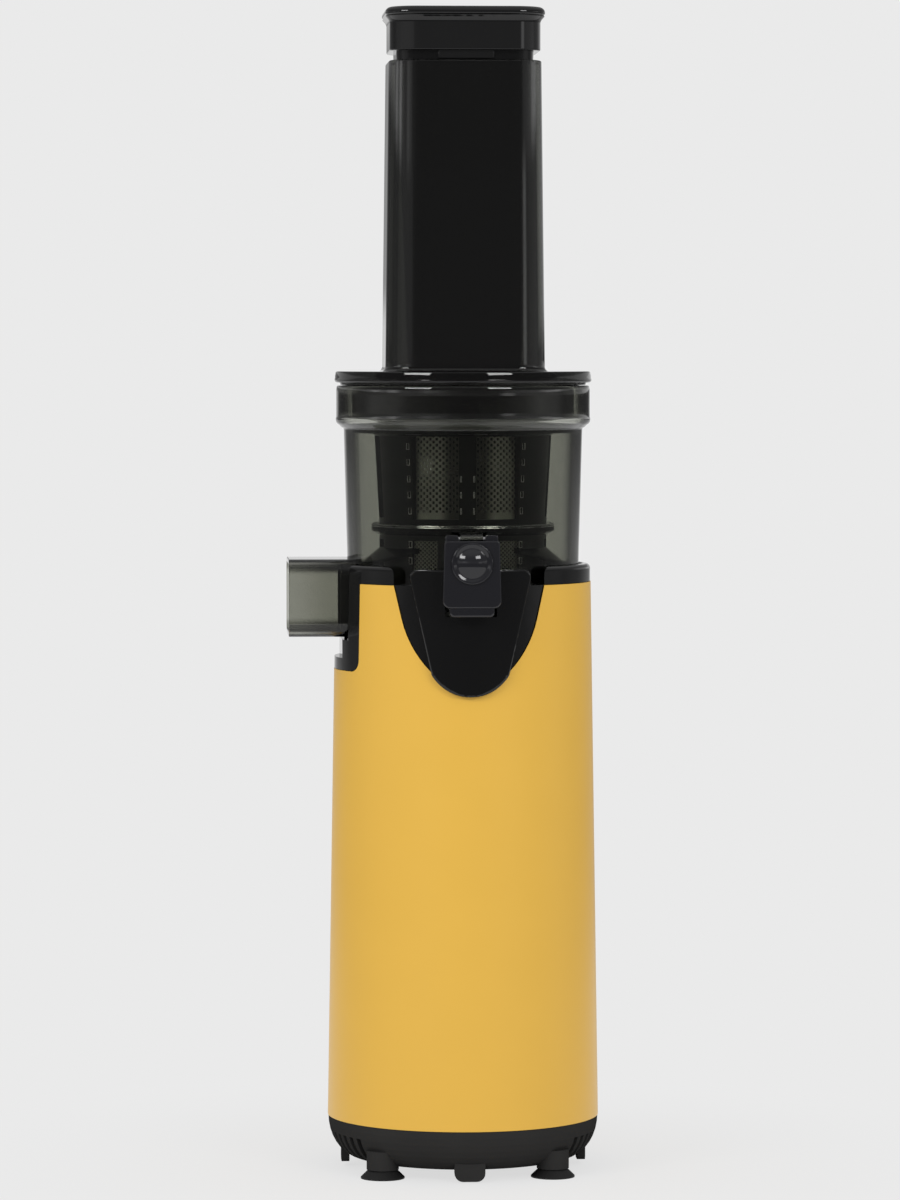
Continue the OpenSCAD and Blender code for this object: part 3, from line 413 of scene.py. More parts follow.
class Bench:
    """Puts nodes into a tree and links them."""

    def __init__(self, tree: bpy.types.NodeTree) -> None:
        """Starts on an empty tree."""
        self.tree = tree
        tree.nodes.clear()

    def add(self, kind: str, **settings: object) -> bpy.types.Node:
        """Adds a node and sets its properties."""
        node = self.tree.nodes.new(kind)
        for key, value in settings.items():
            setattr(node, key, value)
        return node

    def put(self, value: object, socket: bpy.types.NodeSocket) -> None:
        """Links another node's output to a socket, or sets the socket's value."""
        if isinstance(value, bpy.types.NodeSocket):
            self.tree.links.new(value, socket)
        else:
            socket.default_value = value

    def maths(self, operation: str, *values: object, clamp: bool = False) -> bpy.types.NodeSocket:
        """Adds a Math node and returns its result."""
        node = self.add("ShaderNodeMath", operation=operation, use_clamp=clamp)
        for value, socket in zip(values, node.inputs):
            self.put(value, socket)
        return node.outputs[0]

    def fade(self, value: object, low: float, high: float, start: float = 0.0,
             end: float = 1.0) -> bpy.types.NodeSocket:
        """Maps a value smoothly from one range to another."""
        node = self.add("ShaderNodeMapRange", interpolation_type="SMOOTHSTEP")
        for socket, given in zip(node.inputs, (value, low, high, start, end)):
            self.put(given, socket)
        return node.outputs[0]

    def split(self, vector: bpy.types.NodeSocket) -> tuple[bpy.types.NodeSocket, ...]:
        """Takes a vector apart into X, Y and Z."""
        node = self.add("ShaderNodeSeparateXYZ")
        self.put(vector, node.inputs[0])
        return tuple(node.outputs)

    def axes(self) -> tuple[bpy.types.NodeSocket, ...]:
        """Adds object coordinates, in metres, as X, Y and Z."""
        return self.split(self.add("ShaderNodeTexCoord").outputs["Object"])

    def turn(self, x: object, y: object) -> bpy.types.NodeSocket:
        """Turn round the axis, in radians from the front towards +X."""
        return self.maths("ARCTAN2", x, self.maths("MULTIPLY", y, -1.0))

    def length(self, across: object, up: object) -> bpy.types.NodeSocket:
        """Distance of a place from the origin of two axes."""
        return self.maths("SQRT", self.maths("ADD", self.maths("MULTIPLY", across, across),
                                             self.maths("MULTIPLY", up, up)))

    def off(self, value: object, level: float) -> bpy.types.NodeSocket:
        """How far a value lies from a level, above or below."""
        return self.maths("ABSOLUTE", self.maths("SUBTRACT", value, level))

    def noise(self, vector: bpy.types.NodeSocket, scale: object, detail: float = 2.0,
              rough: float = 0.5) -> bpy.types.NodeSocket:
        """Adds a noise pattern and returns its value."""
        node = self.add("ShaderNodeTexNoise")
        self.give(node, Vector=vector, Scale=scale, Detail=detail, Roughness=rough)
        return node.outputs[0]

    def mix(self, share: object, first: object, second: object) -> bpy.types.NodeSocket:
        """Mixes two colours."""
        node = self.add("ShaderNodeMix", data_type="RGBA")
        self.put(share, node.inputs[0])
        for value, socket in ((first, node.inputs[6]), (second, node.inputs[7])):
            self.put((*value, 1.0) if isinstance(value, tuple) else value, socket)
        return node.outputs[2]

    def give(self, node: bpy.types.Node, **values: object) -> bpy.types.Node:
        """Gives a node's inputs their values by name; underscores stand for spaces."""
        for key, value in values.items():
            self.put(value, node.inputs[key.replace("_", " ")])
        return node

    def group(self, tree: bpy.types.NodeTree, **values: object) -> bpy.types.Node:
        """Places a group and gives its inputs their values."""
        return self.give(self.add("ShaderNodeGroup", node_tree=tree), **values)

    def bump(self, height: bpy.types.NodeSocket, depth: float) -> bpy.types.NodeSocket:
        """Adds a Bump node whose relief is so many millimetres deep."""
        return self.give(self.add("ShaderNodeBump"), Distance=depth * MM, Height=height).outputs[0]


def new_group(name: str, inputs: dict[str, float], outputs: list[str]) -> tuple[
        Bench, bpy.types.Node, bpy.types.Node, bpy.types.NodeSocket]:
    """Starts a shader group whose inputs and outputs are all numbers.

    Args:
        name: The group's name.
        inputs: Names and usual values.
        outputs: Names.

    Returns:
        The bench, the group's input and output nodes, and object coordinates in millimetres.
    """
    tree = bpy.data.node_groups.new(name, "ShaderNodeTree")
    for key, value in inputs.items():
        socket = tree.interface.new_socket(key, in_out="INPUT", socket_type="NodeSocketFloat")
        socket.default_value = value
    for key in outputs:
        tree.interface.new_socket(key, in_out="OUTPUT", socket_type="NodeSocketFloat")
    bench = Bench(tree)
    start, end = bench.add("NodeGroupInput"), bench.add("NodeGroupOutput")
    place = bench.add("ShaderNodeTexCoord")
    size = bench.add("ShaderNodeVectorMath", operation="SCALE")
    bench.put(place.outputs["Object"], size.inputs[0])
    size.inputs["Scale"].default_value = 1 / MM
    return bench, start, end, size.outputs[0]


def moulded_skin() -> bpy.types.NodeTree:
    """Skin of a moulded plastic: a fine grain, and a gloss that wanders a little.

    Outputs: Roughness is the base value plus a broad noise times the spread; Height is a fine
    noise; Tone is a broad noise that the colour follows.
    """
    bench, start, end, place = new_group(
        "moulded_skin", {"Roughness": 0.3, "Spread": 0.05, "Grain": 1.0},
        ["Roughness", "Height", "Tone"])
    broad = bench.noise(place, scale=0.045, detail=3.0)
    rough = bench.maths("MULTIPLY_ADD", bench.maths("SUBTRACT", broad, 0.5),
                        start.outputs["Spread"], start.outputs["Roughness"])
    pitch = bench.maths("DIVIDE", 1.0, start.outputs["Grain"])
    fine = bench.noise(place, scale=pitch, detail=3.0, rough=0.6)
    bench.give(end, Roughness=rough, Height=fine, Tone=broad)
    return bench.tree


def worked_metal() -> bpy.types.NodeTree:
    """Fine marks of turning or rolling: noise stretched round the axis of the machine.

    Outputs: Roughness, Height of the marks, and Tone for the colour.
    """
    bench, start, end, place = new_group(
        "worked_metal", {"Roughness": 0.3, "Spread": 0.2, "Pitch": 0.4},
        ["Roughness", "Height", "Tone"])
    x, y, z = bench.split(place)
    stretched = bench.give(bench.add("ShaderNodeCombineXYZ"), X=bench.length(x, y), Y=z,
                           Z=bench.maths("MULTIPLY", x, 0.05))
    pitch = bench.maths("DIVIDE", 1.0, start.outputs["Pitch"])
    marks = bench.noise(stretched.outputs[0], scale=pitch)
    rough = bench.maths("MULTIPLY_ADD", bench.maths("SUBTRACT", marks, 0.5),
                        start.outputs["Spread"], start.outputs["Roughness"])
    bench.give(end, Roughness=rough, Height=marks, Tone=bench.noise(place, scale=0.08))
    return bench.tree


def perforation() -> bpy.types.NodeTree:
    """Oval holes in staggered rows on a drum, laid out by turn and height.

    The place on the drum is its angle times its radius, and its height. Every second row is
    shifted by half a pitch. A hole is where the distance to the nearest row point, with its
    height divided by the stretch, is under the radius; above and below the given heights the
    sheet is plain.

    Outputs: Metal is 0 in a hole and 1 between; Rim rises round each hole.
    """
    bench, start, end, place = new_group(
        "perforation", {"Across": 2.5, "Up": 1.1, "Hole": 0.5, "Stretch": 1.3, "Drum": DRUM_R,
                        "Low": 0.0, "High": 500.0}, ["Metal", "Rim"])
    across, up = start.outputs["Across"], start.outputs["Up"]
    x, y, z = bench.split(place)
    turn = bench.maths("MULTIPLY", bench.turn(x, y), start.outputs["Drum"])
    row = bench.maths("DIVIDE", z, up)
    odd = bench.maths("FLOORED_MODULO", bench.maths("FLOOR", row), 2.0)
    along = bench.maths("ADD", bench.maths("DIVIDE", turn, across),
                        bench.maths("MULTIPLY", odd, 0.5))
    du = bench.maths("MULTIPLY", bench.maths("SUBTRACT", bench.maths("FRACT", along), 0.5),
                     across)
    dv = bench.maths("MULTIPLY", bench.maths("SUBTRACT", bench.maths("FRACT", row), 0.5),
                     bench.maths("DIVIDE", up, start.outputs["Stretch"]))
    edge = bench.maths("SUBTRACT", bench.length(du, dv), start.outputs["Hole"])
    outside = bench.maths("MAXIMUM", bench.maths("LESS_THAN", z, start.outputs["Low"]),
                          bench.maths("GREATER_THAN", z, start.outputs["High"]))
    bench.give(end, Metal=bench.maths("MAXIMUM", bench.fade(edge, -0.04, 0.04), outside),
               Rim=bench.maths("MAXIMUM", bench.fade(edge, 0.0, 0.22), outside))
    return bench.tree


def shade(colour: Colour, share: float) -> Colour:
    """The colour at a share of its brightness."""
    return tuple(c * share for c in colour)


@dataclass(frozen=True)
class Plastic:
    """An opaque moulded plastic: colour, gloss, and the relief and size of its grain."""

    colour: Colour
    roughness: float
    spread: float = 0.04
    grain: float = 1.5
    depth: float = 0.004
    tone: float = 0.04
    specular: float = 0.5

    def build(self, name: str, groups: dict[str, bpy.types.NodeTree]) -> bpy.types.Material:
        """Makes the material."""
        material, bench, shader = new_material(name)
        skin = bench.group(groups["skin"], Roughness=self.roughness, Spread=self.spread,
                           Grain=self.grain).outputs
        colour = bench.mix(skin["Tone"], shade(self.colour, 1 - self.tone),
                           shade(self.colour, 1 + self.tone))
        bench.give(shader, Base_Color=colour, Roughness=skin["Roughness"],
                   Normal=bench.bump(skin["Height"], self.depth),
                   Specular_IOR_Level=self.specular)
        return material


@dataclass(frozen=True)
class Smoke:
    """A smoked clear plastic.

    The tint is what one wall lets through when it is met head on; a wall met at a shallow
    angle lets less through. A spout's wall can get thinner, and so paler, towards its mouth.
    Away from its middle, in its rounded corners, it is darker: a painted shade for the dark
    look that refraction gives the corners. There it lets through a share of the tint, one
    next to the bowl and one at the mouth. A flat plate, given as its middle height and half
    its thickness, is met edge on and lets least through.
    """

    tint: Colour
    roughness: float = 0.012
    refraction: float = 1.49
    shallow: float = 0.02
    mouth: Colour | None = None
    reach: Pair = (46.0, 63.7)
    middle: float = 207.7
    corners: Pair = (8.2, 11.0)
    corner_shades: Pair = (0.22, 0.62)
    plate: Pair | None = None
    plate_shade: float = 0.12
    facing: Pair = (0.5, 0.72)

    def build(self, name: str, groups: dict[str, bpy.types.NodeTree]) -> bpy.types.Material:
        """Makes the material."""
        material, bench, shader = new_material(name)
        skin = bench.group(groups["skin"], Roughness=self.roughness, Spread=0.02,
                           Grain=6.0).outputs
        clear: object = self.tint
        if self.mouth:
            x, _, z = bench.axes()
            along = bench.fade(x, *(-reach * MM for reach in self.reach))
            # painted shade: darker bands in the spout's rounded corners, above and below its
            # middle
            corner_dark = bench.fade(bench.off(z, self.middle * MM), *(c * MM for c in self.corners))
            clear = bench.mix(along, self.tint, self.mouth)
            clear = bench.mix(corner_dark, clear, bench.mix(
                along, *(shade(self.tint, share) for share in self.corner_shades)))
        if self.plate:
            level, half = (size * MM for size in self.plate)
            edge_on = bench.maths("LESS_THAN", bench.off(bench.axes()[2], level), half)
            clear = bench.mix(edge_on, clear, shade(self.tint, self.plate_shade))
        angle = bench.add("ShaderNodeLayerWeight")
        edge = bench.fade(angle.outputs["Facing"], *self.facing)
        bench.give(shader, Base_Color=bench.mix(edge, clear, shade(self.tint, self.shallow)),
                   Roughness=skin["Roughness"], Normal=bench.bump(skin["Height"], 0.002),
                   Transmission_Weight=1.0, IOR=self.refraction)
        return material


@dataclass(frozen=True)
class Metal:
    """A worked metal: colour, gloss, and the pitch and depth of its marks."""

    colour: Colour
    roughness: float
    spread: float = 0.2
    pitch: float = 0.4
    depth: float = 0.003
    metallic: float = 1.0
    dull: float = 0.9

    def build(self, name: str, groups: dict[str, bpy.types.NodeTree]) -> bpy.types.Material:
        """Makes the material."""
        material, bench, shader = new_material(name)
        marks = bench.group(groups["metal"], Roughness=self.roughness, Spread=self.spread,
                            Pitch=self.pitch).outputs
        colour = bench.mix(marks["Tone"], shade(self.colour, self.dull), self.colour)
        bench.give(shader, Base_Color=colour, Roughness=marks["Roughness"],
                   Normal=bench.bump(marks["Height"], self.depth), Metallic=self.metallic)
        return material


@dataclass(frozen=True)
class Sieve:
    """Perforated steel sheet with a band of fine holes under a band of larger ones.

    Each band is the pitch of its holes across and up, their radius, how much taller than
    wide they are, and the lowest and highest place of the band. In front the sheet is darker,
    a painted shade for the dark front that the metal reflects, fading out between two turns
    given in degrees.
    """

    colour: Colour
    bands: tuple[tuple[float, float, float, float, float, float], ...]
    # turns from the front, in degrees, over which the painted shade in front fades out, and how
    # dark it is
    dark_front: Pair = (11.0, 22.0)
    dark_front_share: float = 0.2
    dull: float = 0.82
    rim_shade: float = 0.3
    metallic: float = 0.85

    def build(self, name: str, groups: dict[str, bpy.types.NodeTree]) -> bpy.types.Material:
        """Makes the material."""
        material, bench, shader = new_material(name)
        marks = bench.group(groups["metal"], Roughness=0.36, Spread=0.15, Pitch=0.5).outputs
        metal, rim = 1.0, 1.0
        for across, up, hole, stretch, low, high in self.bands:
            holes = bench.group(groups["holes"], Across=across, Up=up, Hole=hole, Stretch=stretch,
                                Drum=DRUM_R, Low=low, High=high).outputs
            metal = bench.maths("MINIMUM", metal, holes["Metal"])
            rim = bench.maths("MINIMUM", rim, holes["Rim"])
        x, y, _ = bench.axes()
        # painted shade: the sheet is darker in front, where its metal faces the dark front of the
        # studio
        aside = bench.fade(bench.maths("ABSOLUTE", bench.turn(x, y)),
                           *(math.radians(a) for a in self.dark_front))
        front_shaded = shade(self.colour, self.dark_front_share)
        sheet = bench.mix(marks["Tone"], bench.mix(aside, front_shaded, shade(self.colour, self.dull)),
                          bench.mix(aside, front_shaded, self.colour))
        bench.give(shader, Base_Color=bench.mix(rim, shade(self.colour, self.rim_shade), sheet),
                   Roughness=marks["Roughness"], Alpha=metal, Normal=bench.bump(rim, 0.12),
                   Metallic=self.metallic)
        return material


def new_material(name: str) -> tuple[bpy.types.Material, Bench, bpy.types.Node]:
    """Starts a material with one Principled shader; returns it, its bench and the shader."""
    material = bpy.data.materials.new(name)
    material.use_nodes = True
    bench = Bench(material.node_tree)
    shader = bench.add("ShaderNodeBsdfPrincipled")
    end = bench.add("ShaderNodeOutputMaterial")
    bench.put(shader.outputs[0], end.inputs["Surface"])
    return material, bench, shader


class Slot(Enum):
    """Each finish of the machine, by the record's name for it."""

    YELLOW = "yellow_gloss"
    GLOSS = "black_gloss"
    SATIN = "black_satin"
    RING = "ring_grey"
    BASE = "base_black"
    RUBBER = "foot_rubber"
    STEEL = "steel"
    ZINC = "zinc_steel"
    CAST = "die_cast"
    MAGNET = "magnet"
    COPPER = "copper"
    BRASS = "brass"
    BOARD = "circuit_board"
    LEAD = "lead_sleeve"
    GEAR = "gear_plastic"
    COUPLING = "coupling_plastic"
    RED_SEAL = "seal_red"
    GREY_SEAL = "seal_grey"
    CLEAR = "smoke_clear"
    DARK = "smoke_dark"
    SCREEN = "screen_steel"
    AUGER = "auger_plastic"
    CAP = "cap_dark"


# After its colour and roughness, a plastic gives the spread of its gloss, the size and depth
# of its grain and its tone; a metal gives its spread, the pitch and depth of its marks and how
# metallic it is.
FINISHES: dict[Slot, Plastic | Smoke | Metal | Sieve] = {
    Slot.YELLOW: Plastic((0.735, 0.432, 0.056), 0.34, 0.05, 2.6, 0.004, 0.02),
    Slot.GLOSS: Plastic((0.005, 0.005, 0.0052), 0.06, 0.02, 3.0, 0.003, 0.1),
    Slot.SATIN: Plastic((0.017, 0.017, 0.0165), 0.3, 0.08, 0.8, 0.006, 0.1),
    Slot.RING: Plastic((0.09, 0.09, 0.09), 0.5, 0.1, 0.9, 0.01),
    Slot.BASE: Plastic((0.03, 0.0295, 0.029), 0.45, 0.08, 0.7, 0.008, 0.12, specular=0.0),
    Slot.RUBBER: Plastic((0.013, 0.013, 0.013), 0.55, 0.1, 0.5, 0.012, 0.1, specular=0.2),
    Slot.STEEL: Metal((0.6, 0.6, 0.61), 0.26),
    Slot.ZINC: Metal((0.5, 0.5, 0.5), 0.38, 0.25, 0.8),
    Slot.CAST: Metal((0.42, 0.43, 0.44), 0.5, 0.2, 1.2, 0.02),
    Slot.MAGNET: Metal((0.12, 0.12, 0.13), 0.55, 0.1, 0.6, 0.01, 0.4),
    Slot.COPPER: Metal((0.72, 0.34, 0.14), 0.33, 0.25, 0.55, 0.05),
    Slot.BRASS: Metal((0.68, 0.5, 0.22), 0.3),
    Slot.BOARD: Plastic((0.03, 0.13, 0.06), 0.35, 0.1, 1.2, 0.02, 0.25),
    Slot.LEAD: Plastic((0.5, 0.03, 0.02), 0.42, 0.05, 0.8, 0.01),
    Slot.GEAR: Plastic((0.72, 0.7, 0.64), 0.42, 0.08, 0.8, 0.01),
    Slot.COUPLING: Plastic((0.7, 0.7, 0.68), 0.4, 0.08, 0.8, 0.01),
    Slot.RED_SEAL: Plastic((0.35, 0.03, 0.02), 0.5, 0.08, 0.8, 0.01),
    Slot.GREY_SEAL: Plastic((0.24, 0.24, 0.24), 0.5, 0.08, 0.8, 0.01),
    Slot.CLEAR: Smoke((0.425, 0.433, 0.39)),
    Slot.DARK: Smoke((0.1, 0.103, 0.093), plate=(287.3, 2.25)),
    Slot.SCREEN: Sieve((0.66, 0.66, 0.58), ((2.48, 1.085, 0.42, 1.35, 238.9, 267.0),
                                          (1.66, 0.73, 0.34, 1.1, 211.0, 229.0))),
    Slot.AUGER: Plastic((0.01, 0.01, 0.011), 0.35, 0.08, 0.9, 0.01, 0.1),
    Slot.CAP: Plastic((0.012, 0.012, 0.0145), 0.08, 0.03, 1.2, 0.003, 0.08),
}

CAD_FINISHES: dict[Slot, list[str]] = {
    Slot.YELLOW: ["body_shell"],
    Slot.GLOSS: ["seat_housing", "spout_apron", "food_pusher"],
    Slot.SATIN: ["switch_housing", "switch_rocker", "motor_end_cap", "cooling_fan",
                 "strainer_frame", "strainer_base"],
    Slot.RING: ["boss_ring"],
    Slot.BASE: ["base_cover"],
    Slot.RUBBER: ["suction_feet", "cord_gland"],
    Slot.STEEL: ["base_screws", "motor_bearings", "rotor_shaft", "gearbox_screws", "motor_screws",
                 "first_carrier", "output_carrier", "second_planet_1", "second_planet_2",
                 "second_planet_3", "first_planet_pins", "second_planet_pins", "output_bearing",
                 "auger_shaft", "cap_hinge_pin"],
    Slot.ZINC: ["motor_can"],
    Slot.CAST: ["gearbox_plate", "gearbox_cover"],
    Slot.MAGNET: ["motor_magnets"],
    Slot.COPPER: ["rotor_core"],
    Slot.BRASS: ["motor_pinion"],
    Slot.BOARD: ["control_board"],
    Slot.LEAD: ["internal_wiring"],
    Slot.GEAR: ["ring_gear", "first_planet_1", "first_planet_2", "first_planet_3"],
    Slot.COUPLING: ["drive_coupling"],
    Slot.RED_SEAL: ["shaft_seal"],
    Slot.GREY_SEAL: ["bowl_seal", "pulp_plug", "cap_seal", "lid_gasket"],
    Slot.CLEAR: ["juice_bowl", "bowl_floor", "bowl_boss", "pulp_spout", "juice_spout"],
    Slot.DARK: ["lid_disc", "lid_skirt", "feed_chute"],
    Slot.SCREEN: ["strainer_screen"],
    Slot.AUGER: ["auger_screw"],
    Slot.CAP: ["spout_cap"],
}


class Paint:
    """The shop's finishes: builds each material once and puts it on pieces."""

    def __init__(self) -> None:
        """Makes the shared groups and every material."""
        groups = {"skin": moulded_skin(), "metal": worked_metal(), "holes": perforation()}
        self.groups = groups
        self.materials = {slot: finish.build(slot.value, groups)
                          for slot, finish in FINISHES.items()}

    def dress_frame(self) -> None:
        """Gives every CAD node its finish."""
        for slot, nodes in CAD_FINISHES.items():
            for name in nodes:
                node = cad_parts.get(name)
                if node is None:
                    continue
                for place in node.material_slots:
                    place.material = self.materials[slot]
                log.info("node %s: %s", name, slot.value)

    def finish(self, made: bpy.types.Object, slot: Slot, body: str,
               replaces: tuple[str, ...] = (),
               material: bpy.types.Material | None = None) -> bpy.types.Object:
        """Paints a new piece and sets the body that it rides on.

        Args:
            made: The piece.
            slot: Its finish.
            body: The body that it moves with.
            replaces: CAD nodes that it stands for.
            material: A material of its own, in place of the slot's.

        Returns:
            The piece.
        """
        made.data.materials.append(material or self.materials[slot])
        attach(made, body)
        if replaces:
            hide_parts(*(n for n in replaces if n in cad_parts))
        log.info("piece %s on %s: %d faces", made.name, body, len(made.data.polygons))
        return made


# ---------- studio ----------


@dataclass
class Studio:
    """Camera, floor and light of a plain product picture.

    The shadow is the distances from the middle between which the floor stops showing it, and
    the shares of its own glow there. Each box is a name, the degrees from the front and over
    the middle, the distance, the size, and the power in watts.
    """

    distance: float = 1.9195
    height: float = 0.298
    azimuth: float = -3.2
    aim: Pair = (-0.0047, 0.2063)
    lens: float = 158.6
    background: float = 0.823
    ambient: float = 0.72
    overhead: float = 0.5
    rings: tuple[tuple[float, float, tuple[Pair, ...]], ...] = (
        (-2.0, -1.0, (
            (-180, 0.82), (-150, 0.5), (-120, 0.25), (-100, 0.18), (-66, 0.13), (-38, 0.1),
            (0, 0.08), (32, 0.09), (70, 0.12), (100, 0.18), (120, 0.25), (150, 0.5),
            (180, 0.82))),
        (-0.07, -0.015, (
            (-180, 0.8), (-167, 0.6), (-156, 0.08), (-128, 0.08), (-108, 0.2), (-90, 0.42),
            (-70, 0.36), (-50, 0.17), (-25, 0.12), (0, 0.11), (30, 0.12), (50, 0.2),
            (73, 0.45), (86, 0.36), (104, 0.15), (128, 0.08), (156, 0.08), (167, 0.6),
            (180, 0.8))),
        (0.004, 0.014, (
            (-180, 0.35), (-150, 0.15), (-113, 0.15), (-93, 0.3), (-72, 0.4), (-53, 0.48),
            (-33, 0.46), (-20, 0.42), (-12, 0.24), (0, 0.21), (28, 0.22), (36, 1.4),
            (41, 1.4), (47, 0.4), (66, 0.45), (87, 0.5), (100, 0.3), (115, 0.3),
            (150, 0.8), (180, 0.8))),
        (0.052, 0.064, (
            (-180, 0.6), (-113, 0.5), (-98, 1.0), (-90, 2.2), (-80, 1.0), (-70, 2.4),
            (-60, 0.6), (-46, 0.5), (-36, 1.0), (-28, 0.7), (-15, 0.3), (0, 0.2),
            (28, 0.22), (38, 0.5), (66, 0.7), (80, 2.0), (92, 2.0), (103, 0.7),
            (115, 0.5), (180, 0.6))),
        (0.12, 0.17, (
            (-180, 0.3), (-110, 0.2), (-60, 0.18), (0, 0.16), (60, 0.18), (110, 0.2),
            (180, 0.3))),
    )
    ceiling: Pair = (0.35, 0.8)
    floor_r: float = 0.8
    shadow: tuple[float, float, float, float] = (0.05, 0.22, 0.82, 1.0)
    middle: float = 0.22
    boxes: tuple[tuple[str, float, float, float, Pair, float], ...] = (
        ("left_box", -46, 26, 1.5, (0.62, 0.3), 6.6),
        ("right_box", 31, 26, 1.5, (0.55, 0.3), 5.2))

    def build(self) -> None:
        """Sets up everything and the way colours are shown."""
        scene = bpy.context.scene
        scene.view_settings.view_transform = "Standard"
        scene.camera = self.camera()
        scene.world = self.world()
        self.floor()
        self.lights()
        log.info("studio ready")

    def camera(self) -> bpy.types.Object:
        """A long lens a little to the left of the front, tipped down to the middle."""
        data = bpy.data.cameras.new("camera")
        data.lens = self.lens
        data.clip_end = 30
        turn = math.radians(self.azimuth)
        back = Vector((math.sin(turn), -math.cos(turn), 0))
        right = Vector((math.cos(turn), math.sin(turn), 0))
        place = back * self.distance + right * self.aim[0] + Vector((0, 0, self.height))
        target = right * self.aim[0] + Vector((0, 0, self.aim[1]))
        camera = bpy.data.objects.new("camera", data)
        bpy.context.scene.collection.objects.link(camera)
        camera.location = place
        camera.rotation_euler = (target - place).to_track_quat("-Z", "Y").to_euler()
        return camera

    def world(self) -> bpy.types.World:
        """Pale where it is looked at or through, even for matt surfaces. Gloss finds a stack of
        rings, each with its own brightness round the horizon, that follow each other from the
        table upwards, and a pale ceiling.

        The lights are sampled on their own, so the air isn't: a ray then finds the air that
        belongs to its own kind.
        """
        world = bpy.data.worlds.new("studio_air")
        world.use_nodes = True
        bench = Bench(world.node_tree)
        path = bench.add("ShaderNodeLightPath").outputs
        x, y, z = bench.split(bench.add("ShaderNodeTexCoord").outputs["Generated"])
        place = bench.maths("MULTIPLY_ADD", bench.turn(x, y), 1 / FULL_TURN, 0.5)
        round_about = None
        for low, high, stops in self.rings:
            ring = self.levels(bench, place, stops)
            round_about = ring if round_about is None else bench.mix(
                bench.fade(z, low, high), round_about, ring)
        pale, ambient, overhead = ((level,) * 3 for level in (
            self.background, self.ambient, self.overhead))
        gloss = bench.mix(bench.fade(z, *self.ceiling), round_about, overhead)
        matt = bench.maths("GREATER_THAN", path["Diffuse Depth"], 0.5)
        mirrored = bench.maths("GREATER_THAN", path["Glossy Depth"], 0.5)
        air_light = bench.mix(matt, bench.mix(mirrored, pale, gloss), ambient)
        air = bench.add("ShaderNodeBackground")
        bench.give(air, Color=bench.mix(path["Is Camera Ray"], air_light, pale))
        bench.give(bench.add("ShaderNodeOutputWorld"), Surface=air.outputs[0])
        world.cycles.sampling_method = "NONE"
        return world

    def levels(self, bench: Bench, place: bpy.types.NodeSocket,
               stops: tuple[Pair, ...]) -> bpy.types.NodeSocket:
        """Adds a ramp of brightness round the horizon.

        Args:
            bench: Where the ramp is added.
            place: The direction's turn, from 0 to 1, with the front at 0.5.
            stops: Degrees from the front, and the brightness there.

        Returns:
            The brightness in that direction.
        """
        ramp = bench.add("ShaderNodeValToRGB")
        ramp.color_ramp.interpolation = "EASE"
        marks = ramp.color_ramp.elements
        while len(marks) < len(stops):
            marks.new(0.5)
        for mark, (degrees, level) in zip(marks, stops):
            mark.position = degrees / 360 + 0.5
            mark.color = (level, level, level, 1)
        bench.put(place, ramp.inputs[0])
        return ramp.outputs[0]

    def floor(self) -> None:
        """A round pale floor that shows a soft shadow near the feet and fades into the air."""
        mesh = bpy.data.meshes.new("floor")
        angles = all_round(96)
        rim = np.stack([np.cos(angles), np.sin(angles), 0 * angles], 1) * self.floor_r
        mesh.from_pydata(rim.tolist(), [], [tuple(range(len(rim)))])
        floor = bpy.data.objects.new("floor", mesh)
        bpy.context.scene.collection.objects.link(floor)
        material = bpy.data.materials.new("pale_floor")
        material.use_nodes = True
        bench = Bench(material.node_tree)
        away = bench.add("ShaderNodeVectorMath", operation="LENGTH")
        bench.put(bench.add("ShaderNodeTexCoord").outputs["Object"], away.inputs[0])
        path = bench.add("ShaderNodeLightPath").outputs
        seen = bench.maths("MAXIMUM", path["Is Camera Ray"], path["Is Transmission Ray"])
        seen = bench.maths("MAXIMUM", seen, path["Is Glossy Ray"])
        share = bench.maths("MULTIPLY", seen, bench.fade(away.outputs["Value"], *self.shadow))
        matt = bench.give(bench.add("ShaderNodeBsdfDiffuse"), Color=(0.8, 0.8, 0.8, 1))
        glow = bench.give(bench.add("ShaderNodeEmission"), Color=(*(self.background,) * 3, 1))
        both = bench.add("ShaderNodeMixShader")
        for value, socket in zip((share, matt.outputs[0], glow.outputs[0]), both.inputs):
            bench.put(value, socket)
        bench.give(bench.add("ShaderNodeOutputMaterial"), Surface=both.outputs[0])
        mesh.materials.append(material)

    def softbox(self, name: str, azimuth: float, elevation: float, distance: float,
                size: Pair, power: float) -> None:
        """Adds an area light that looks at the machine from an angle.

        Args:
            name: The light's name.
            azimuth: Degrees from the front towards +X.
            elevation: Degrees over the middle of the machine.
            distance: Metres from the middle.
            size: Width and height in metres.
            power: Power in watts.
        """
        data = bpy.data.lights.new(name, "AREA")
        data.shape = "RECTANGLE"
        data.size, data.size_y = size
        data.energy = power
        lamp = bpy.data.objects.new(name, data)
        bpy.context.scene.collection.objects.link(lamp)
        a, e = math.radians(azimuth), math.radians(elevation)
        way = Vector((math.sin(a) * math.cos(e), -math.cos(a) * math.cos(e), math.sin(e)))
        lamp.location = way * distance + Vector((0, 0, self.middle))
        lamp.rotation_euler = (-way).to_track_quat("-Z", "Y").to_euler()

    def lights(self) -> None:
        """Two wide, low softboxes in front, one to each side."""
        for box in self.boxes:
            self.softbox(*box)


# ---------- the bowl ----------


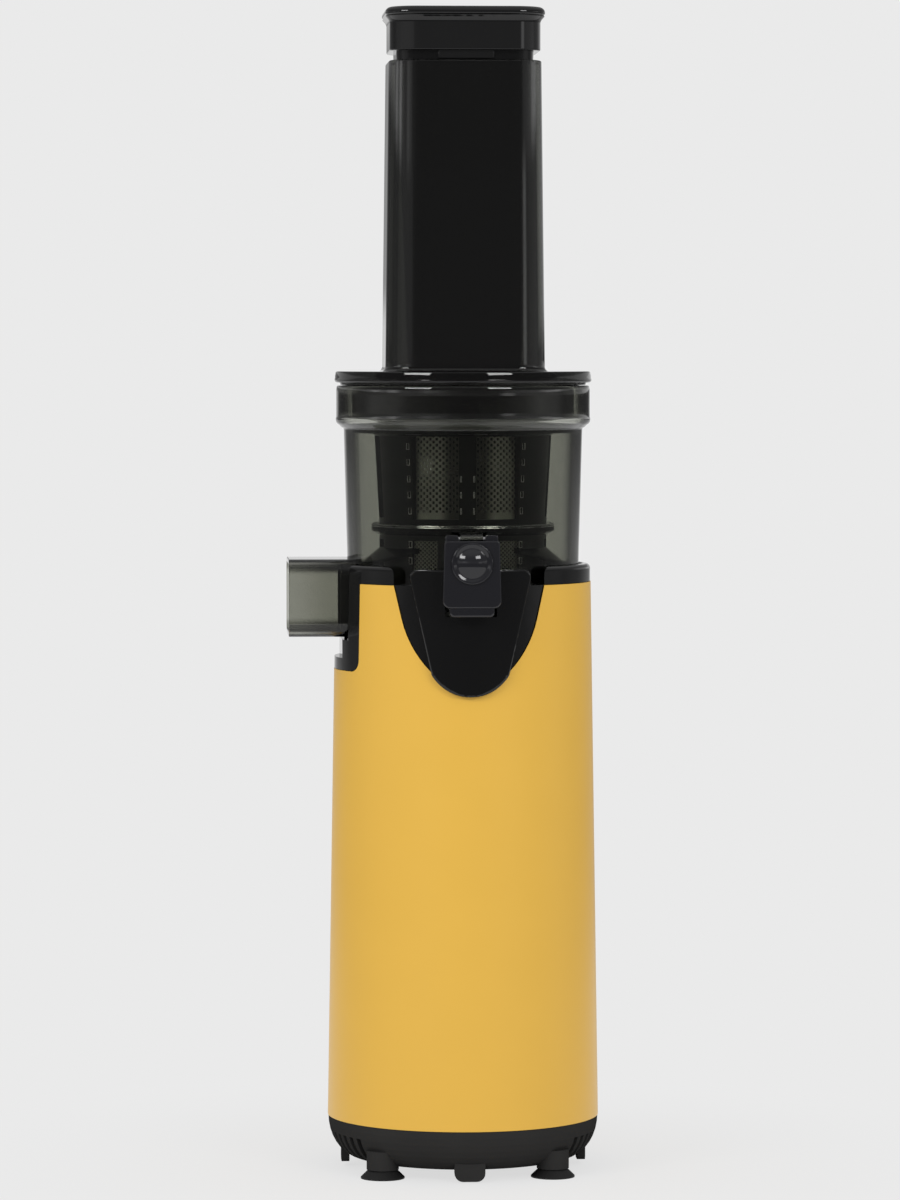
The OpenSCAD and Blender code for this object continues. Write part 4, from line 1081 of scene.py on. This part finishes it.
@dataclass
class Bowl:
    """The smoked juicing bowl: wall with collar and lugs, and two spouts.

    The step is where the wall turns out towards the collar, the fillet is under the collar,
    and the facets are how far the collar's two slanting faces stand back.
    """

    low_r: float = 42.0
    top_r: float = 43.3
    collar_r: float = 46.2
    wall: float = 2.0
    foot_z: float = 187.8
    seat_z: float = 219.8
    flare_z: float = 268.5
    collar_z: Pair = (270.6, 284.3)
    floor_z: Pair = (204.0, 206.2)
    pulp_w: float = 36.0
    pulp_z: Pair = (193.7, 221.7)
    pulp_reach: float = 63.7
    pulp_wall: float = 1.8
    pulp_corner: float = 5.5
    spout_w: float = 16.4
    spout_z: Pair = (203.3, 227.5)
    spout_corner: float = 3.0
    spout_wall: float = 1.8
    spout_reach: float = 54.0
    outlet_top: float = 225.7
    lip: float = 0.35
    lip_share: float = 0.2
    sleeve_gap: float = 0.1
    sleeve_wall: float = 0.9
    sleeve_reach: float = 45.0
    hinge: Pair = (51.8, 230.2)
    lug_r: Pair = (42.2, 44.2)
    lug_z: Pair = (281.1, 284.3)
    step_r: float = 0.8
    fillet: float = 1.9
    rim_r: float = 0.7
    facets: Pair = (0.16, 0.34)

    def outside(self, z: Array) -> Array:
        """Distance from the axis to the outside of the wall at each height."""
        return np.interp(z, [self.foot_z, self.seat_z, self.flare_z],
                         [self.low_r, self.low_r, self.top_r])

    def wall_solid(self) -> Solid:
        """The wall, flaring into the collar, with the two outlets left open."""
        q = quarter(5)
        step, over = self.flare_z, self.collar_z[0] + 1.2
        near, far = self.facets
        edge = np.array(
            [[self.low_r - 0.4, self.foot_z], [self.low_r, self.foot_z + 0.4]]
            + [[self.low_r, z] for z in (self.pulp_z[0], 196, 200, *self.floor_z, 210, 215,
                                         self.seat_z)]
            + [[self.low_r + 0.13, self.outlet_top]]
            + [[self.outside(z), z] for z in (232, 240, 248, 256, 263)]
            + [[self.top_r + self.step_r * (1 - math.cos(t)),
                step - 0.2 + self.step_r * math.sin(t)] for t in q]
            + [[self.collar_r - self.fillet * (1 - math.sin(t)), over - self.fillet * math.cos(t)]
               for t in q[1:]]
            + [[self.collar_r, 272.3]]
            + [[self.collar_r - near, z] for z in (273.0, 275, 278, 280.5, 282.7)]
            + [[self.collar_r - far, 283.5]]
            + [[self.collar_r - far - self.rim_r * (1 - math.cos(t)),
                self.collar_z[1] - self.rim_r + self.rim_r * math.sin(t)] for t in q[1:]])
        outer, z = edge.T
        inner = np.interp(z, [self.foot_z, self.seat_z, step + 0.6, over + 0.4],
                          [self.low_r - self.wall, self.low_r - self.wall,
                           self.top_r - self.wall, self.collar_r - 2.2])
        juice = math.asin((self.spout_w / 2 - self.spout_wall) / self.low_r)
        pulp = math.asin(self.pulp_w / 2 / self.low_r)
        edges = np.array([juice, -juice, LEFT_SIDE - pulp, LEFT_SIDE + pulp])
        angles = turns_with(180, edges, 0.012)
        middle, zm = cell_turns(angles), halfway(z)
        in_front, at_left = apart(middle, 0.0)[None], apart(middle, LEFT_SIDE)[None]
        hole = (in_front < juice) & (zm > self.floor_z[1]) & (zm < self.outlet_top)
        hole |= (at_left < pulp) & (zm > self.pulp_z[0]) & (zm < self.floor_z[0])
        return shell(around(outer[:, None], angles[None], z[:, None]),
                     around(inner[:, None], angles[None], z[:, None]), ~hole, True)

    def lugs(self) -> Solid:
        """Three lugs inside the collar that hold the lid down."""
        return three_lugs(self.lug_r, self.lug_z, 0)

    def spout_loop(self, width: float, heights: Pair, corner: float, inset: float) -> Array:
        """Outline of a spout's section: across and up, anticlockwise."""
        w = width / 2 - inset
        outline = oblong(-w, w, heights[0] + inset, heights[1] - inset)
        return rounded(outline, max(corner - inset, 0.4), 8)

    def channel(self, outer: Array, inner: Array, root: Array, mouth: float, axis: Axis) -> Solid:
        """A spout: two outlines carried from the bowl's wall to the mouth.

        The outer outline starts on the wall, at a distance that differs from point to point,
        runs to the mouth, turns over a small rounded lip and goes back along the inner one.

        Args:
            outer: Outer outline, across and up.
            inner: Inner outline, the same number of points.
            root: Where each point of the outlines starts, for the outer and the inner one.
            mouth: Distance from the axis to the mouth.
            axis: Which way the spout points.

        Returns:
            The spout as a closed wall.
        """
        t, turns = np.linspace(0, 1, 6), quarter(4)
        straight = mouth - self.lip
        rows, depth = [], []
        for share in t:
            rows.append(outer)
            depth.append(root[0] + (straight - root[0]) * share)
        for near, far, lip in ((outer, inner, turns[1:]), (inner, outer, turns[::-1][:-1])):
            for q in lip:
                rows.append(near + (far - near) * self.lip_share * (1 - math.cos(q)))
                depth.append(np.full(len(outer), straight + self.lip * math.sin(q)))
        for share in t[::-1]:
            rows.append(inner)
            depth.append(root[1] + (straight - root[1]) * share)
        flat, out = np.stack(rows), np.stack(depth)
        if axis is Axis.LEFT:
            grid = np.stack([-out, -flat[..., 0], flat[..., 1]], -1)
        else:
            grid = np.stack([flat[..., 0], -out, flat[..., 1]], -1)
        return from_grid(grid, close_rows=True)

    def spout(self, width: float, heights: Pair, corner: float, wall: float, reach: float,
              axis: Axis) -> Solid:
        """A spout that starts just inside the outer face of the bowl's wall.

        Args:
            width: Width outside.
            heights: Lowest and highest place outside.
            corner: Radius of the corners outside.
            wall: Thickness.
            reach: Distance from the axis to the mouth.
            axis: Which way the spout points.

        Returns:
            The spout.
        """
        outer, inner = (self.spout_loop(width, heights, corner, inset) for inset in (0, wall))
        roots = np.stack([np.sqrt((self.outside(p[:, 1]) - 0.05) ** 2 - p[:, 0] ** 2)
                          for p in (outer, inner)])
        return self.channel(outer, inner, roots, reach, axis)

    def pulp_solid(self) -> Solid:
        """The wide spout for the pulp, open under the bowl's floor."""
        return self.spout(self.pulp_w, self.pulp_z, self.pulp_corner, self.pulp_wall,
                          self.pulp_reach, Axis.LEFT)

    def lining(self) -> Solid:
        """The dark sleeve inside the pulp spout, next to the bowl."""
        gap = self.pulp_wall + self.sleeve_gap
        outer, inner = (self.spout_loop(self.pulp_w, self.pulp_z, self.pulp_corner, inset)
                        for inset in (gap, gap + self.sleeve_wall))
        start = np.stack([np.sqrt((self.low_r + 0.2) ** 2 - p[:, 0] ** 2) for p in (outer, inner)])
        return self.channel(outer, inner, start, self.sleeve_reach, Axis.LEFT)

    def juice_solid(self) -> Solid:
        """The narrow spout for the juice, with the knuckle of its cap's hinge."""
        tube = self.spout(self.spout_w, self.spout_z, self.spout_corner, self.spout_wall,
                          self.spout_reach, Axis.FRONT)
        y, z = self.hinge
        ring = revolve(rounded(oblong(1.05, 2.2, -4, 4), [0.1, 0.4, 0.4, 0.1], 3), 40)
        px, py, pz = ring.points.T
        knuckle = Solid(np.stack([pz, px - y, py + z], 1), ring.faces)
        web = slab(oblong(-4, 4, 226.9, 228.8), 0.3, y - 2.1, y + 2.1, 0.3, True)
        return tube + knuckle + web

    def build(self, paint: Paint) -> None:
        """Makes the bowl's pieces."""
        wall = piece("bowl_wall", self.wall_solid() + self.lugs(), bevel=0.25)
        paint.finish(wall, Slot.CLEAR, "bowl", ("juice_bowl",))
        thin = Smoke((0.43, 0.435, 0.385), mouth=(0.53, 0.535, 0.49)).build(
            "smoke_clear_thin", paint.groups)
        paint.finish(piece("pulp_channel", self.pulp_solid()), Slot.CLEAR, "bowl",
                     ("pulp_spout",), thin)
        paint.finish(piece("pulp_sleeve", self.lining()), Slot.SATIN, "bowl")
        paint.finish(piece("juice_channel", self.juice_solid()), Slot.CLEAR, "bowl",
                     ("juice_spout",))


@dataclass
class Apron:
    """The bulging black apron under the juice spout: a tongue with a round tip.

    The barrel that it is laid on is its radius, the height where it has it, and how much it
    widens for each millimetre upwards.
    """

    top: Pair = (22.2, 219.3)
    low: Pair = (13.8, 181.7)
    tip: Pair = (16.2, 190.2)
    corner: float = 3.5
    wall: float = 2.2
    edge: float = 0.6
    slot: Pair = (9.2, 202.6)
    centre_y: float = 4.2
    barrel: tuple[float, float, float] = (44.4, 172, 0.06)

    def half_width(self, z: Array) -> Array:
        """Half the tongue's width: its tip's circle, then a straight side, then the round
        upper corner."""
        side = self.low[0] + (self.top[0] - self.low[0]) * (z - self.low[1]) / (
            self.top[1] - self.low[1])
        tip = np.sqrt(np.clip(self.tip[0] ** 2 - (z - self.tip[1]) ** 2, 0, None))
        rise = np.clip(z - self.top[1] + self.corner, 0, self.corner)
        bent = side - self.corner + np.sqrt(self.corner ** 2 - rise ** 2)
        return np.where(z < self.low[1], tip, bent)

    def solid(self) -> Solid:
        """A grid across the tongue, laid on a slightly conical barrel. Within the edge's
        radius of the outline the face falls back along a quarter circle."""
        z = np.unique(np.round(np.concatenate([
            self.tip[1] - self.tip[0] * np.cos(np.linspace(0.05, 1.02, 20)),
            np.linspace(self.low[1], self.slot[1], 14), np.linspace(self.slot[1], 215.6, 8),
            self.top[1] - self.corner * (1 - np.sin(quarter(12)))]), 4))
        w = np.maximum(self.half_width(z), 0.3)[:, None]
        gap = np.minimum(self.slot[0], 0.6 * w)
        part = np.array([0, 0.008, 0.022, 0.042, 0.07, 0.12, 0.26, 0.5, 0.75, 1.0])[None]
        left = -w + (w - gap) * part
        middle = gap * np.linspace(-1, 1, 9)[None, 1:-1]
        x = np.hstack([left, middle, -left[:, ::-1]])
        zz = np.broadcast_to(z[:, None], x.shape)
        line = np.linspace(z[0], z[-1], 160)
        half = self.half_width(line)
        across = np.linspace(-half[-1], half[-1], 40)
        outline = np.vstack([np.stack([half, line], 1), np.stack([-half, line], 1),
                             np.stack([across, np.full(40, z[-1])], 1)])
        away = np.hypot(x[..., None] - outline[:, 0], zz[..., None] - outline[:, 1]).min(-1)
        near = np.clip(1 - away / self.edge, 0, 1)
        back = self.edge * (1 - np.sqrt(1 - near ** 2))
        radius, height, widening = self.barrel
        barrel = radius + widening * (zz - height)
        outer = np.stack([x, -self.centre_y - np.sqrt(barrel ** 2 - x ** 2) + back, zz], -1)
        hollow = np.sqrt((barrel - self.wall) ** 2 - x ** 2)
        inner = np.stack([x, -self.centre_y - hollow, zz], -1)
        xm = (x[1:, 1:] + x[:-1, :-1]) / 2
        open_cells = (np.abs(xm) < np.minimum(gap[1:], gap[:-1])) & (halfway(z) > self.slot[1])
        return shell(outer, inner, ~open_cells, False)

    def build(self, paint: Paint) -> None:
        """Makes the apron."""
        paint.finish(piece("apron_tongue", self.solid()), Slot.GLOSS, "base", ("spout_apron",))


@dataclass
class SpoutCap:
    """The cap that swings down over the juice spout, with its button and finger lip.

    The dome in the button is the radius of its sphere and the height of its top.
    """

    face: Pair = (54.3, 56.9)
    heights: Pair = (206.0, 229.8)
    half_low: float = 10.4
    half_top: float = 9.8
    edge: float = 0.55
    button_z: float = 221.8
    dome: Pair = (9.0, 2.0)
    ear_x: float = 7
    ear_half: float = 2.3
    ear_z: Pair = (228.6, 231.8)
    ear_y: Pair = (49.4, 55.0)
    lip_half: float = 7.9
    lip_z: Pair = (202.8, 208.0)

    def plate(self) -> Solid:
        """The plate, a little wider below, with round lower corners."""
        low, high = self.heights
        outline = np.array([[-self.half_low, low], [self.half_low, low],
                            [self.half_top, high], [-self.half_top, high]])
        return slab(outline, np.array([2.6, 2.6, 0.9, 0.9]), *self.face, self.edge, True)

    def button(self) -> Solid:
        """A button: a round bead that slopes gently inwards, and a dome in its middle."""
        q = quarter(5)
        bead = np.stack([7.0 + 0.35 * np.cos(q), 0.45 + 0.35 * np.sin(q)], 1)
        slope = np.array([[6.7, 0.77], [6.2, 0.6], [5.7, 0.4], [5.35, 0.3]])
        a = np.linspace(0.62, 0.003, 12)
        r, top = self.dome
        dome = np.stack([r * np.sin(a), top - r * (1 - np.cos(a))], 1)
        profile = np.vstack([[[7.4, -0.7]], bead, slope, dome])
        return tilt(turned(profile), Axis.FRONT, (0, -self.face[1], self.button_z))

    def build(self, paint: Paint) -> None:
        """Makes the cap; its hinge ears are blocks with round edges."""
        ears = [slab(oblong(x - self.ear_half, x + self.ear_half, *self.ear_z), 1.0, *self.ear_y,
                     0.3, True) for x in (-self.ear_x, self.ear_x)]
        lip = slab(oblong(-self.lip_half, self.lip_half, *self.lip_z),
                   np.array([1.7, 1.7, 0.4, 0.4]), self.face[0], self.face[1] - 0.4, 0.8, True)
        cap = joined([self.plate(), self.button(), lip, *ears])
        paint.finish(piece("cap_plate", cap), Slot.CAP, "spout_cap", ("spout_cap",))


# ---------- strainer and auger ----------


@dataclass
class Strainer:
    """The strainer: a black frame with windows over a perforated drum.

    A span of windows is its middle and half its width, in degrees from the front. Half a slot
    is in degrees and millimetres. Pale frames round the slots, and along the window edges at
    the bar turns, are painted highlights; half a frame's opening is in millimetres.
    """

    inner_r: float = 28.8
    low_r: float = 30.3
    top_r: float = 32.2
    heights: Pair = (206.4, 268.0)
    flange_r: float = 33.2
    flange_z: Pair = (230.6, 234.4)
    low_windows: Pair = (211.5, 228.8)
    top_windows: Pair = (236.5, 266.2)
    high_spans: tuple[Pair, ...] = (
        (-22.2, 16.3), (20.9, 15.6), (80, 8), (100, 8), (154, 9.2), (180, 13), (206, 9.2),
        (260, 8), (280, 8))
    low_spans: tuple[Pair, ...] = (
        (-30.4, 9.7), (28.6, 9.7), (80, 8), (100, 8), (154, 9.2), (180, 13), (206, 9.2),
        (260, 8), (280, 8))
    slot_turns: tuple[float, ...] = (-41.2, 39.2)
    # turns of the painted highlights along the edges of the two middle windows
    bar_glint_turns: tuple[float, ...] = (-4.6, 4.0)
    slot_z: tuple[float, ...] = (221.5, 227.4, 239.5, 245.3, 251.0, 257.0, 262.7)
    slot_half: Pair = (0.9, 1.05)
    slot_glint: Pair = (0.5, 1.05)
    bar_glint: Pair = (0.12, 0.95)
    skirt_z: float = 226.0

    def frame_solid(self) -> Solid:
        """The frame: a tapering wall with windows and two columns of small slots."""
        high, low = ([(math.radians(c - h), math.radians(c + h)) for c, h in spans]
                     for spans in (self.high_spans, self.low_spans))
        half, half_z = self.slot_half
        tiny = [(math.radians(t - half), math.radians(t + half)) for t in self.slot_turns]
        edges = np.array(high + low + tiny).ravel()
        angles = np.unique(np.round(turns_with(144, edges, 0.006), 7))
        slots = np.array([(z - half_z, z + half_z) for z in self.slot_z])
        z = np.unique(np.round(np.concatenate([
            self.heights, self.low_windows, self.top_windows, slots.ravel(), self.flange_z]), 4))
        outer = np.interp(z, [self.heights[0], self.flange_z[1], self.heights[1]],
                          [self.low_r, self.low_r, self.top_r])
        middle, zm = cell_turns(angles), halfway(z)

        def between(pairs: list[Pair]) -> Array:
            """Whether each column lies in one of the spans."""
            starts, ends = np.array(pairs).T[..., None]
            return (((middle[None] - starts) % FULL_TURN) < ends - starts).any(0)[None]

        upper = (zm > self.top_windows[0]) & (zm < self.top_windows[1])
        lower = (zm > self.low_windows[0]) & (zm < self.low_windows[1])
        short = ((zm[None] > slots[:, :1, None]) & (zm[None] < slots[:, 1:, None])).any(0)
        open_cells = between(high) & upper | between(low) & lower | between(tiny) & short
        return shell(around(outer[:, None], angles[None], z[:, None]),
                     around(self.inner_r, angles[None], z[:, None]), ~open_cells, True)

    def flange(self) -> Solid:
        """The ring round the middle of the frame."""
        low, high = self.flange_z
        profile = np.array([[self.low_r - 0.4, low], [self.low_r + 0.6, low],
                            [self.flange_r, low + 1.1], [self.flange_r, high],
                            [self.low_r - 0.4, high]])
        return revolve(rounded(profile, [0.05, 0.3, 0.5, 0.75, 0.05], 5))

    def rim(self) -> Solid:
        """The bead round the top of the frame."""
        high = self.heights[1]
        profile = oblong(self.inner_r, self.top_r + 0.5, high - 1.5, high)
        return revolve(rounded(profile, [0.05, 0.5, 0.7, 0.5], 5))

    def band(self, radius: float, height: float) -> Solid:
        """A fine steel ring whose outer face slants upwards."""
        profile = np.array([[-0.5, 0], [0.05, 0], [-0.15, 0.9], [-0.5, 1.15]])
        return revolve(profile + [radius, height])

    def lining(self, turn: float, z: float, half: Pair) -> Solid:
        """A painted highlight round one slot or along a window's edge: a fine pale square wire led
        round four corners.
        """
        radius = np.interp(z, [self.flange_z[1], self.heights[1]], [self.low_r, self.top_r])
        corners = oblong(-1, 1, -1, 1)[:, None]
        wire = oblong(0.0, 0.17, -0.3, 0.06)
        across = corners[..., 0] * (half[0] + wire[None, :, 0])
        up = corners[..., 1] * (half[1] + wire[None, :, 0])
        rows = around(radius + wire[None, :, 1], math.radians(turn) + across / radius, z + up)
        return from_grid(rows, close_rows=True)

    def skirt(self) -> Solid:
        """The thin collar at the frame's foot, flaring out on the left and the right.

        The flare follows the square of the sine of the turn, so that it is low in front.
        """
        angles = all_round(144)[None]
        share = np.linspace(0, 1, 7)[:, None]
        lobe = np.clip(np.sin(angles) ** 2 * 1.7 - 0.55, 0, 1)
        drop = share * (0.4 + 5.1 * lobe)
        radius = self.low_r - 0.3 + share * (0.2 + 6.0 * lobe) + 0.5 * lobe * share * share
        radius = radius - 2.2 * (1 - np.clip(lobe * 8, 0, 1))
        z = self.skirt_z - drop
        outer = around(radius, angles, z)
        inner = around(radius - 0.2, angles, z - 1.2)
        return from_grid(np.concatenate([outer, inner[::-1]]), close_rows=True)

    def build(self, paint: Paint) -> None:
        """Makes the frame and its trim; the drum keeps its shape and gets its holes."""
        windows = piece("strainer_windows", self.frame_solid(), 30, 0.22)
        paint.finish(windows, Slot.SATIN, "bowl", ("strainer_frame",))
        trim = self.flange() + self.rim() + self.skirt()
        paint.finish(piece("strainer_trim", trim), Slot.GLOSS, "bowl")
        wires = (self.band(self.flange_r + 0.02, self.flange_z[1] - 1.05)
                 + self.band(self.top_r + 0.52, self.heights[1] - 1.1))
        # pale wire frames: painted highlights round the slots and along the middle windows' edges
        glint_frames = [self.lining(turn, z, half)
                  for turns, heights, half in ((self.slot_turns, self.slot_z, self.slot_glint),
                                               (self.bar_glint_turns, self.slot_z[2:5], self.bar_glint))
                  for turn in turns for z in heights]
        paint.finish(piece("slot_glints", joined(glint_frames)), Slot.COUPLING, "bowl")
        paint.finish(piece("strainer_wires", wires), Slot.STEEL, "bowl")


@dataclass
class Auger:
    """The auger: a core with two broad flights that wind down to a skirt.

    The land is half the angle of a flight's flat edge, and the slope the angle over which it
    falls to the core.
    """

    heights: Pair = (209.2, 268.0)
    flight_r: float = 27.4
    core: Pair = (13.0, 9.5)
    waist_z: float = 238
    skirt: float = 20.0
    turns: float = 1.6
    land: float = 0.06
    slope: float = 0.2
    fade_z: float = 1.6
    tip_z: float = 280.0
    tip_r: float = 6.0

    def solid(self) -> Solid:
        """One surface: its distance from the axis is the core's, plus the flights' where the
        turn is near that of a flight at this height. The flights fade out under the tip."""
        low, high = self.heights
        z = np.concatenate([np.linspace(low, high, 90),
                            np.linspace(high + 0.4, self.tip_z, 16)])[:, None]
        angles = all_round(200)[None]
        tip = self.tip_r
        core = np.interp(z, [low, low + 4, self.waist_z, high, self.tip_z - tip],
                         [self.skirt, self.skirt, *self.core, tip])
        dome = np.sqrt(np.clip(tip ** 2 - np.clip(z - self.tip_z + tip, 0, tip) ** 2, 0, None))
        core = np.where(z > self.tip_z - tip, dome, core)
        turn = angles - np.pi / 2 - FULL_TURN * self.turns * (z - low) / (high - low)
        away = np.abs((turn + np.pi / 2) % np.pi - np.pi / 2)
        fall = np.clip((away - self.land) / self.slope, 0, 1)
        blade = 1 - fall * fall * (3 - 2 * fall)
        ends = np.clip((high - z) / self.fade_z, 0, 1)
        radius = core + (self.flight_r - core) * blade * ends * (z <= high)
        return from_grid(around(np.maximum(radius, 0.05), angles, z), caps=True)

    def build(self, paint: Paint) -> None:
        """Makes the auger."""
        paint.finish(piece("auger_flights", self.solid()), Slot.AUGER, "auger", ("auger_screw",))


# ---------- lid and pusher ----------


@dataclass
class Lid:
    """The smoked lid: disc and chute in one moulding, the skirt with its lugs.

    The facets are how far the disc's two slanting faces stand back. A profile gives the
    distance, the height and the radius of each corner.
    """

    radius: float = 46.6
    disc_z: Pair = (285.3, 289.4)
    chute: Pair = (55.0, 46.0)
    draft: float = 2.6
    wall: float = 2.2
    corner: float = 10.0
    top_z: float = 401.0
    flat: float = 4
    low_edge: float = 0.9
    top_edge: float = 0.7
    facets: Pair = (0.16, 0.35)
    fillet: float = 1.6
    lip: float = 0.6
    lug_r: Pair = (40.0, 43.4)
    lug_z: Pair = (277.6, 280.6)
    lug_turn: float = 30
    columns: int = 240
    neck: tuple[tuple[float, float, float], ...] = (
        (37.8, 267.2, 0.5), (39.8, 267.2, 0.5), (39.8, 268.3, 0.2), (38.7, 268.3, 0.3),
        (38.7, 272.3, 0.3), (40.3, 272.3, 0.7), (40.3, 284.5, 0.1), (44.6, 284.5, 0.3),
        (44.6, 285.25, 0.1), (37.8, 285.25, 0.1))
    lips: tuple[tuple[float, float, float], ...] = (
        (39.02, 268.65, 0.2), (40.9, 268.65, 0.3), (40.5, 270.1, 0.3), (40.9, 271.55, 0.3),
        (39.02, 271.55, 0.2))

    def ring(self, z: float, width: float, depth: float, corner: float) -> Array:
        """One loop of the chute at a height."""
        angles = all_round(self.columns, -np.pi)
        return around(box_radius(width, depth, corner, angles), angles, z)

    def section(self, z: float, inset: float) -> tuple[float, float, float]:
        """Width, depth and corner radius of the chute at a height, brought in by a wall."""
        share = (z - self.disc_z[1]) / (self.top_z - self.disc_z[1])
        grow = self.draft * (1 - share)
        corner = self.corner + (1 - share) - inset * (0.91 + 0.09 * share)
        return (self.chute[0] + grow - 2 * inset, self.chute[1] + grow - 2 * inset,
                max(corner, 0.5))

    def solid(self) -> Solid:
        """Disc and chute: loops go out under the disc, over its edge with two fine slanting
        faces, in to the chute's foot, up a small fillet and the outside of the chute, over the
        lip and down inside."""
        angles = all_round(self.columns, -np.pi)
        low, high = self.disc_z
        near, far = self.facets
        rim = [(self.radius - self.flat, low), (self.radius - self.low_edge, low)]
        rim += [(self.radius - self.low_edge * (1 - math.sin(q)),
                 low + self.low_edge * (1 - math.cos(q))) for q in quarter(5)[1:]]
        rim += [(self.radius, low + 1.1), (self.radius - near, low + 1.8),
                (self.radius - near, high - 1.7), (self.radius - far, high - 0.85)]
        rim += [(self.radius - far - self.top_edge * (1 - math.cos(q)),
                 high - self.top_edge * (1 - math.sin(q))) for q in np.linspace(0.4, np.pi / 2, 5)]
        rim.append((self.radius - self.flat, high))
        rows = [around(r, angles, z) for r, z in rim]
        width, depth, corner = self.section(high, 0)
        for q in quarter(6):
            out = self.fillet * (1 - math.sin(q))
            rows.append(self.ring(high + self.fillet * (1 - math.cos(q)), width + 2 * out,
                                  depth + 2 * out, corner + out))
        for z in np.linspace(high + 4, self.top_z - self.lip, 12):
            rows.append(self.ring(z, *self.section(z, 0)))
        for q in np.linspace(0, np.pi, 7):
            inset = self.wall / 2 - (self.wall / 2) * math.cos(q)
            rows.append(self.ring(self.top_z - self.lip + self.lip * math.sin(q),
                                  *self.section(self.top_z, inset)))
        for z in np.linspace(self.top_z - 2, high, 12):
            rows.append(self.ring(z, *self.section(z, self.wall)))
        rows.append(self.ring(low, *self.section(high, self.wall)))
        return from_grid(np.stack(rows), close_rows=True)

    def skirt(self) -> Solid:
        """The skirt that goes down into the bowl, with the groove for its gasket."""
        neck = np.array(self.neck)
        body = revolve(rounded(neck[:, :2], neck[:, 2], 4))
        return body + three_lugs(self.lug_r, self.lug_z, self.lug_turn)

    def gasket(self) -> Solid:
        """The soft ring in the groove, with two rounded lips."""
        lips = np.array(self.lips)
        return revolve(rounded(lips[:, :2], lips[:, 2], 3))

    def build(self, paint: Paint) -> None:
        """Makes the lid's pieces."""
        paint.finish(piece("lid_and_chute", self.solid(), 50), Slot.DARK, "lid",
                     ("lid_disc", "feed_chute"))
        paint.finish(piece("lid_neck", self.skirt(), bevel=0.2), Slot.DARK, "lid", ("lid_skirt",))
        paint.finish(piece("gasket_ring", self.gasket()), Slot.GREY_SEAL, "gasket",
                     ("lid_gasket",))


@dataclass
class Pusher:
    """The hollow food pusher: tapering shaft, collar and flange.

    The hollow is open at the top; its mouth is a width and a depth. The neck between collar
    and flange is pairs of a height and how far it has grown there.
    """

    flange: Pair = (57.6, 48.6)
    collar: Pair = (54.3, 45.3)
    shaft_top: Pair = (49.5, 39.5)
    shaft_end: Pair = (41.0, 31.5)
    shaft_z: Pair = (288.0, 404.4)
    shaft_corner: float = 6
    tip_r: float = 1.2
    corner: float = 10.0
    collar_top: float = 414.4
    neck: tuple[Pair, ...] = ((415.0, 0.15), (415.6, 0.5), (416.2, 1.05), (416.7, 1.5))
    bead_z: float = 417.9
    bead_r: float = 2.1
    bead_low: float = 0.55
    mouth: Pair = (50.0, 40.0)
    mouth_r: float = 0.6
    hollow_z: Pair = (290.5, 420.0)
    wall: float = 2.0
    rib_y: Pair = (18.4, 20.6)
    columns: int = 240

    def solid(self) -> Solid:
        """Loops go up the shaft, out to the collar, out to the flange, over its round edge,
        and down the hollow inside."""
        angles = all_round(self.columns, -np.pi)
        low, collar_z = self.shaft_z
        floor, top = self.hollow_z
        end = self.shaft_corner

        def loop(z: float, size: Pair, corner: float, grow: float = 0.0) -> Array:
            """One rounded rectangle at a height."""
            return around(box_radius(size[0] + 2 * grow, size[1] + 2 * grow,
                                     max(corner + grow, 0.5), angles), angles, z)

        def shaft(share: float) -> tuple[Pair, float]:
            """Size and corner of the shaft, from its end to its top."""
            size = tuple(a + (b - a) * share for a, b in zip(self.shaft_end, self.shaft_top))
            return size, end + 2 * share

        def turn_over(z: float, size: Pair, corner: float, r: float, way: int,
                      count: int) -> list[Array]:
            """Loops over a quarter circle: outwards and up, or inwards and down."""
            return [loop(z + way * r * (1 - math.cos(q)), size, corner,
                         -way * r * (1 - math.sin(q))) for q in quarter(count)]

        rows = [loop(low, self.shaft_end, end, -8)]
        rows += turn_over(low, self.shaft_end, end, self.tip_r, 1, 5)
        for share in np.linspace(0.06, 1, 12):
            rows.append(loop(low + (collar_z - low) * share, *shaft(share)))
        rows += turn_over(collar_z, self.collar, self.corner, 0.5, 1, 4)
        rows.append(loop(self.collar_top, self.collar, self.corner))
        rows += [loop(z, self.collar, self.corner, out) for z, out in self.neck]
        for q in np.linspace(-0.7, np.pi / 2, 9):
            rise = self.bead_r * math.sin(q) * (1 if q > 0 else self.bead_low)
            rows.append(loop(self.bead_z + rise, self.flange, self.corner + 1,
                             -self.bead_r * (1 - math.cos(q))))
        rows += turn_over(top, self.mouth, end + 1, self.mouth_r, -1, 4)
        for share in np.linspace(0.92, 0.02, 12):
            rows.append(loop(floor + (top - floor) * share, *shaft(share), -self.wall))
        rows.append(loop(floor, self.shaft_end, end, -4.5))
        return from_grid(np.stack(rows), caps=True)

    def ribs(self) -> Solid:
        """The two ribs that rest on the chute's rim."""
        front = slab(oblong(-10, 10, 401.3, 404.8), 0.4, *self.rib_y, 0.3, True)
        return front + Solid(front.points * np.array([-1, -1, 1]), front.faces)

    def build(self, paint: Paint) -> None:
        """Makes the pusher."""
        paint.finish(piece("pusher_shell", self.solid() + self.ribs(), 50), Slot.GLOSS, "pusher",
                     ("food_pusher",))


def main() -> None:
    """Builds the studio and the machine, piece by piece."""
    logging.basicConfig(level=logging.INFO, format="%(name)s: %(message)s")
    Studio().build()
    paint = Paint()
    paint.dress_frame()
    for part in (Apron(), Bowl(), SpoutCap(), Strainer(), Auger(), Lid(), Pusher()):
        part.build(paint)


if __name__ == "__main__":
    main()
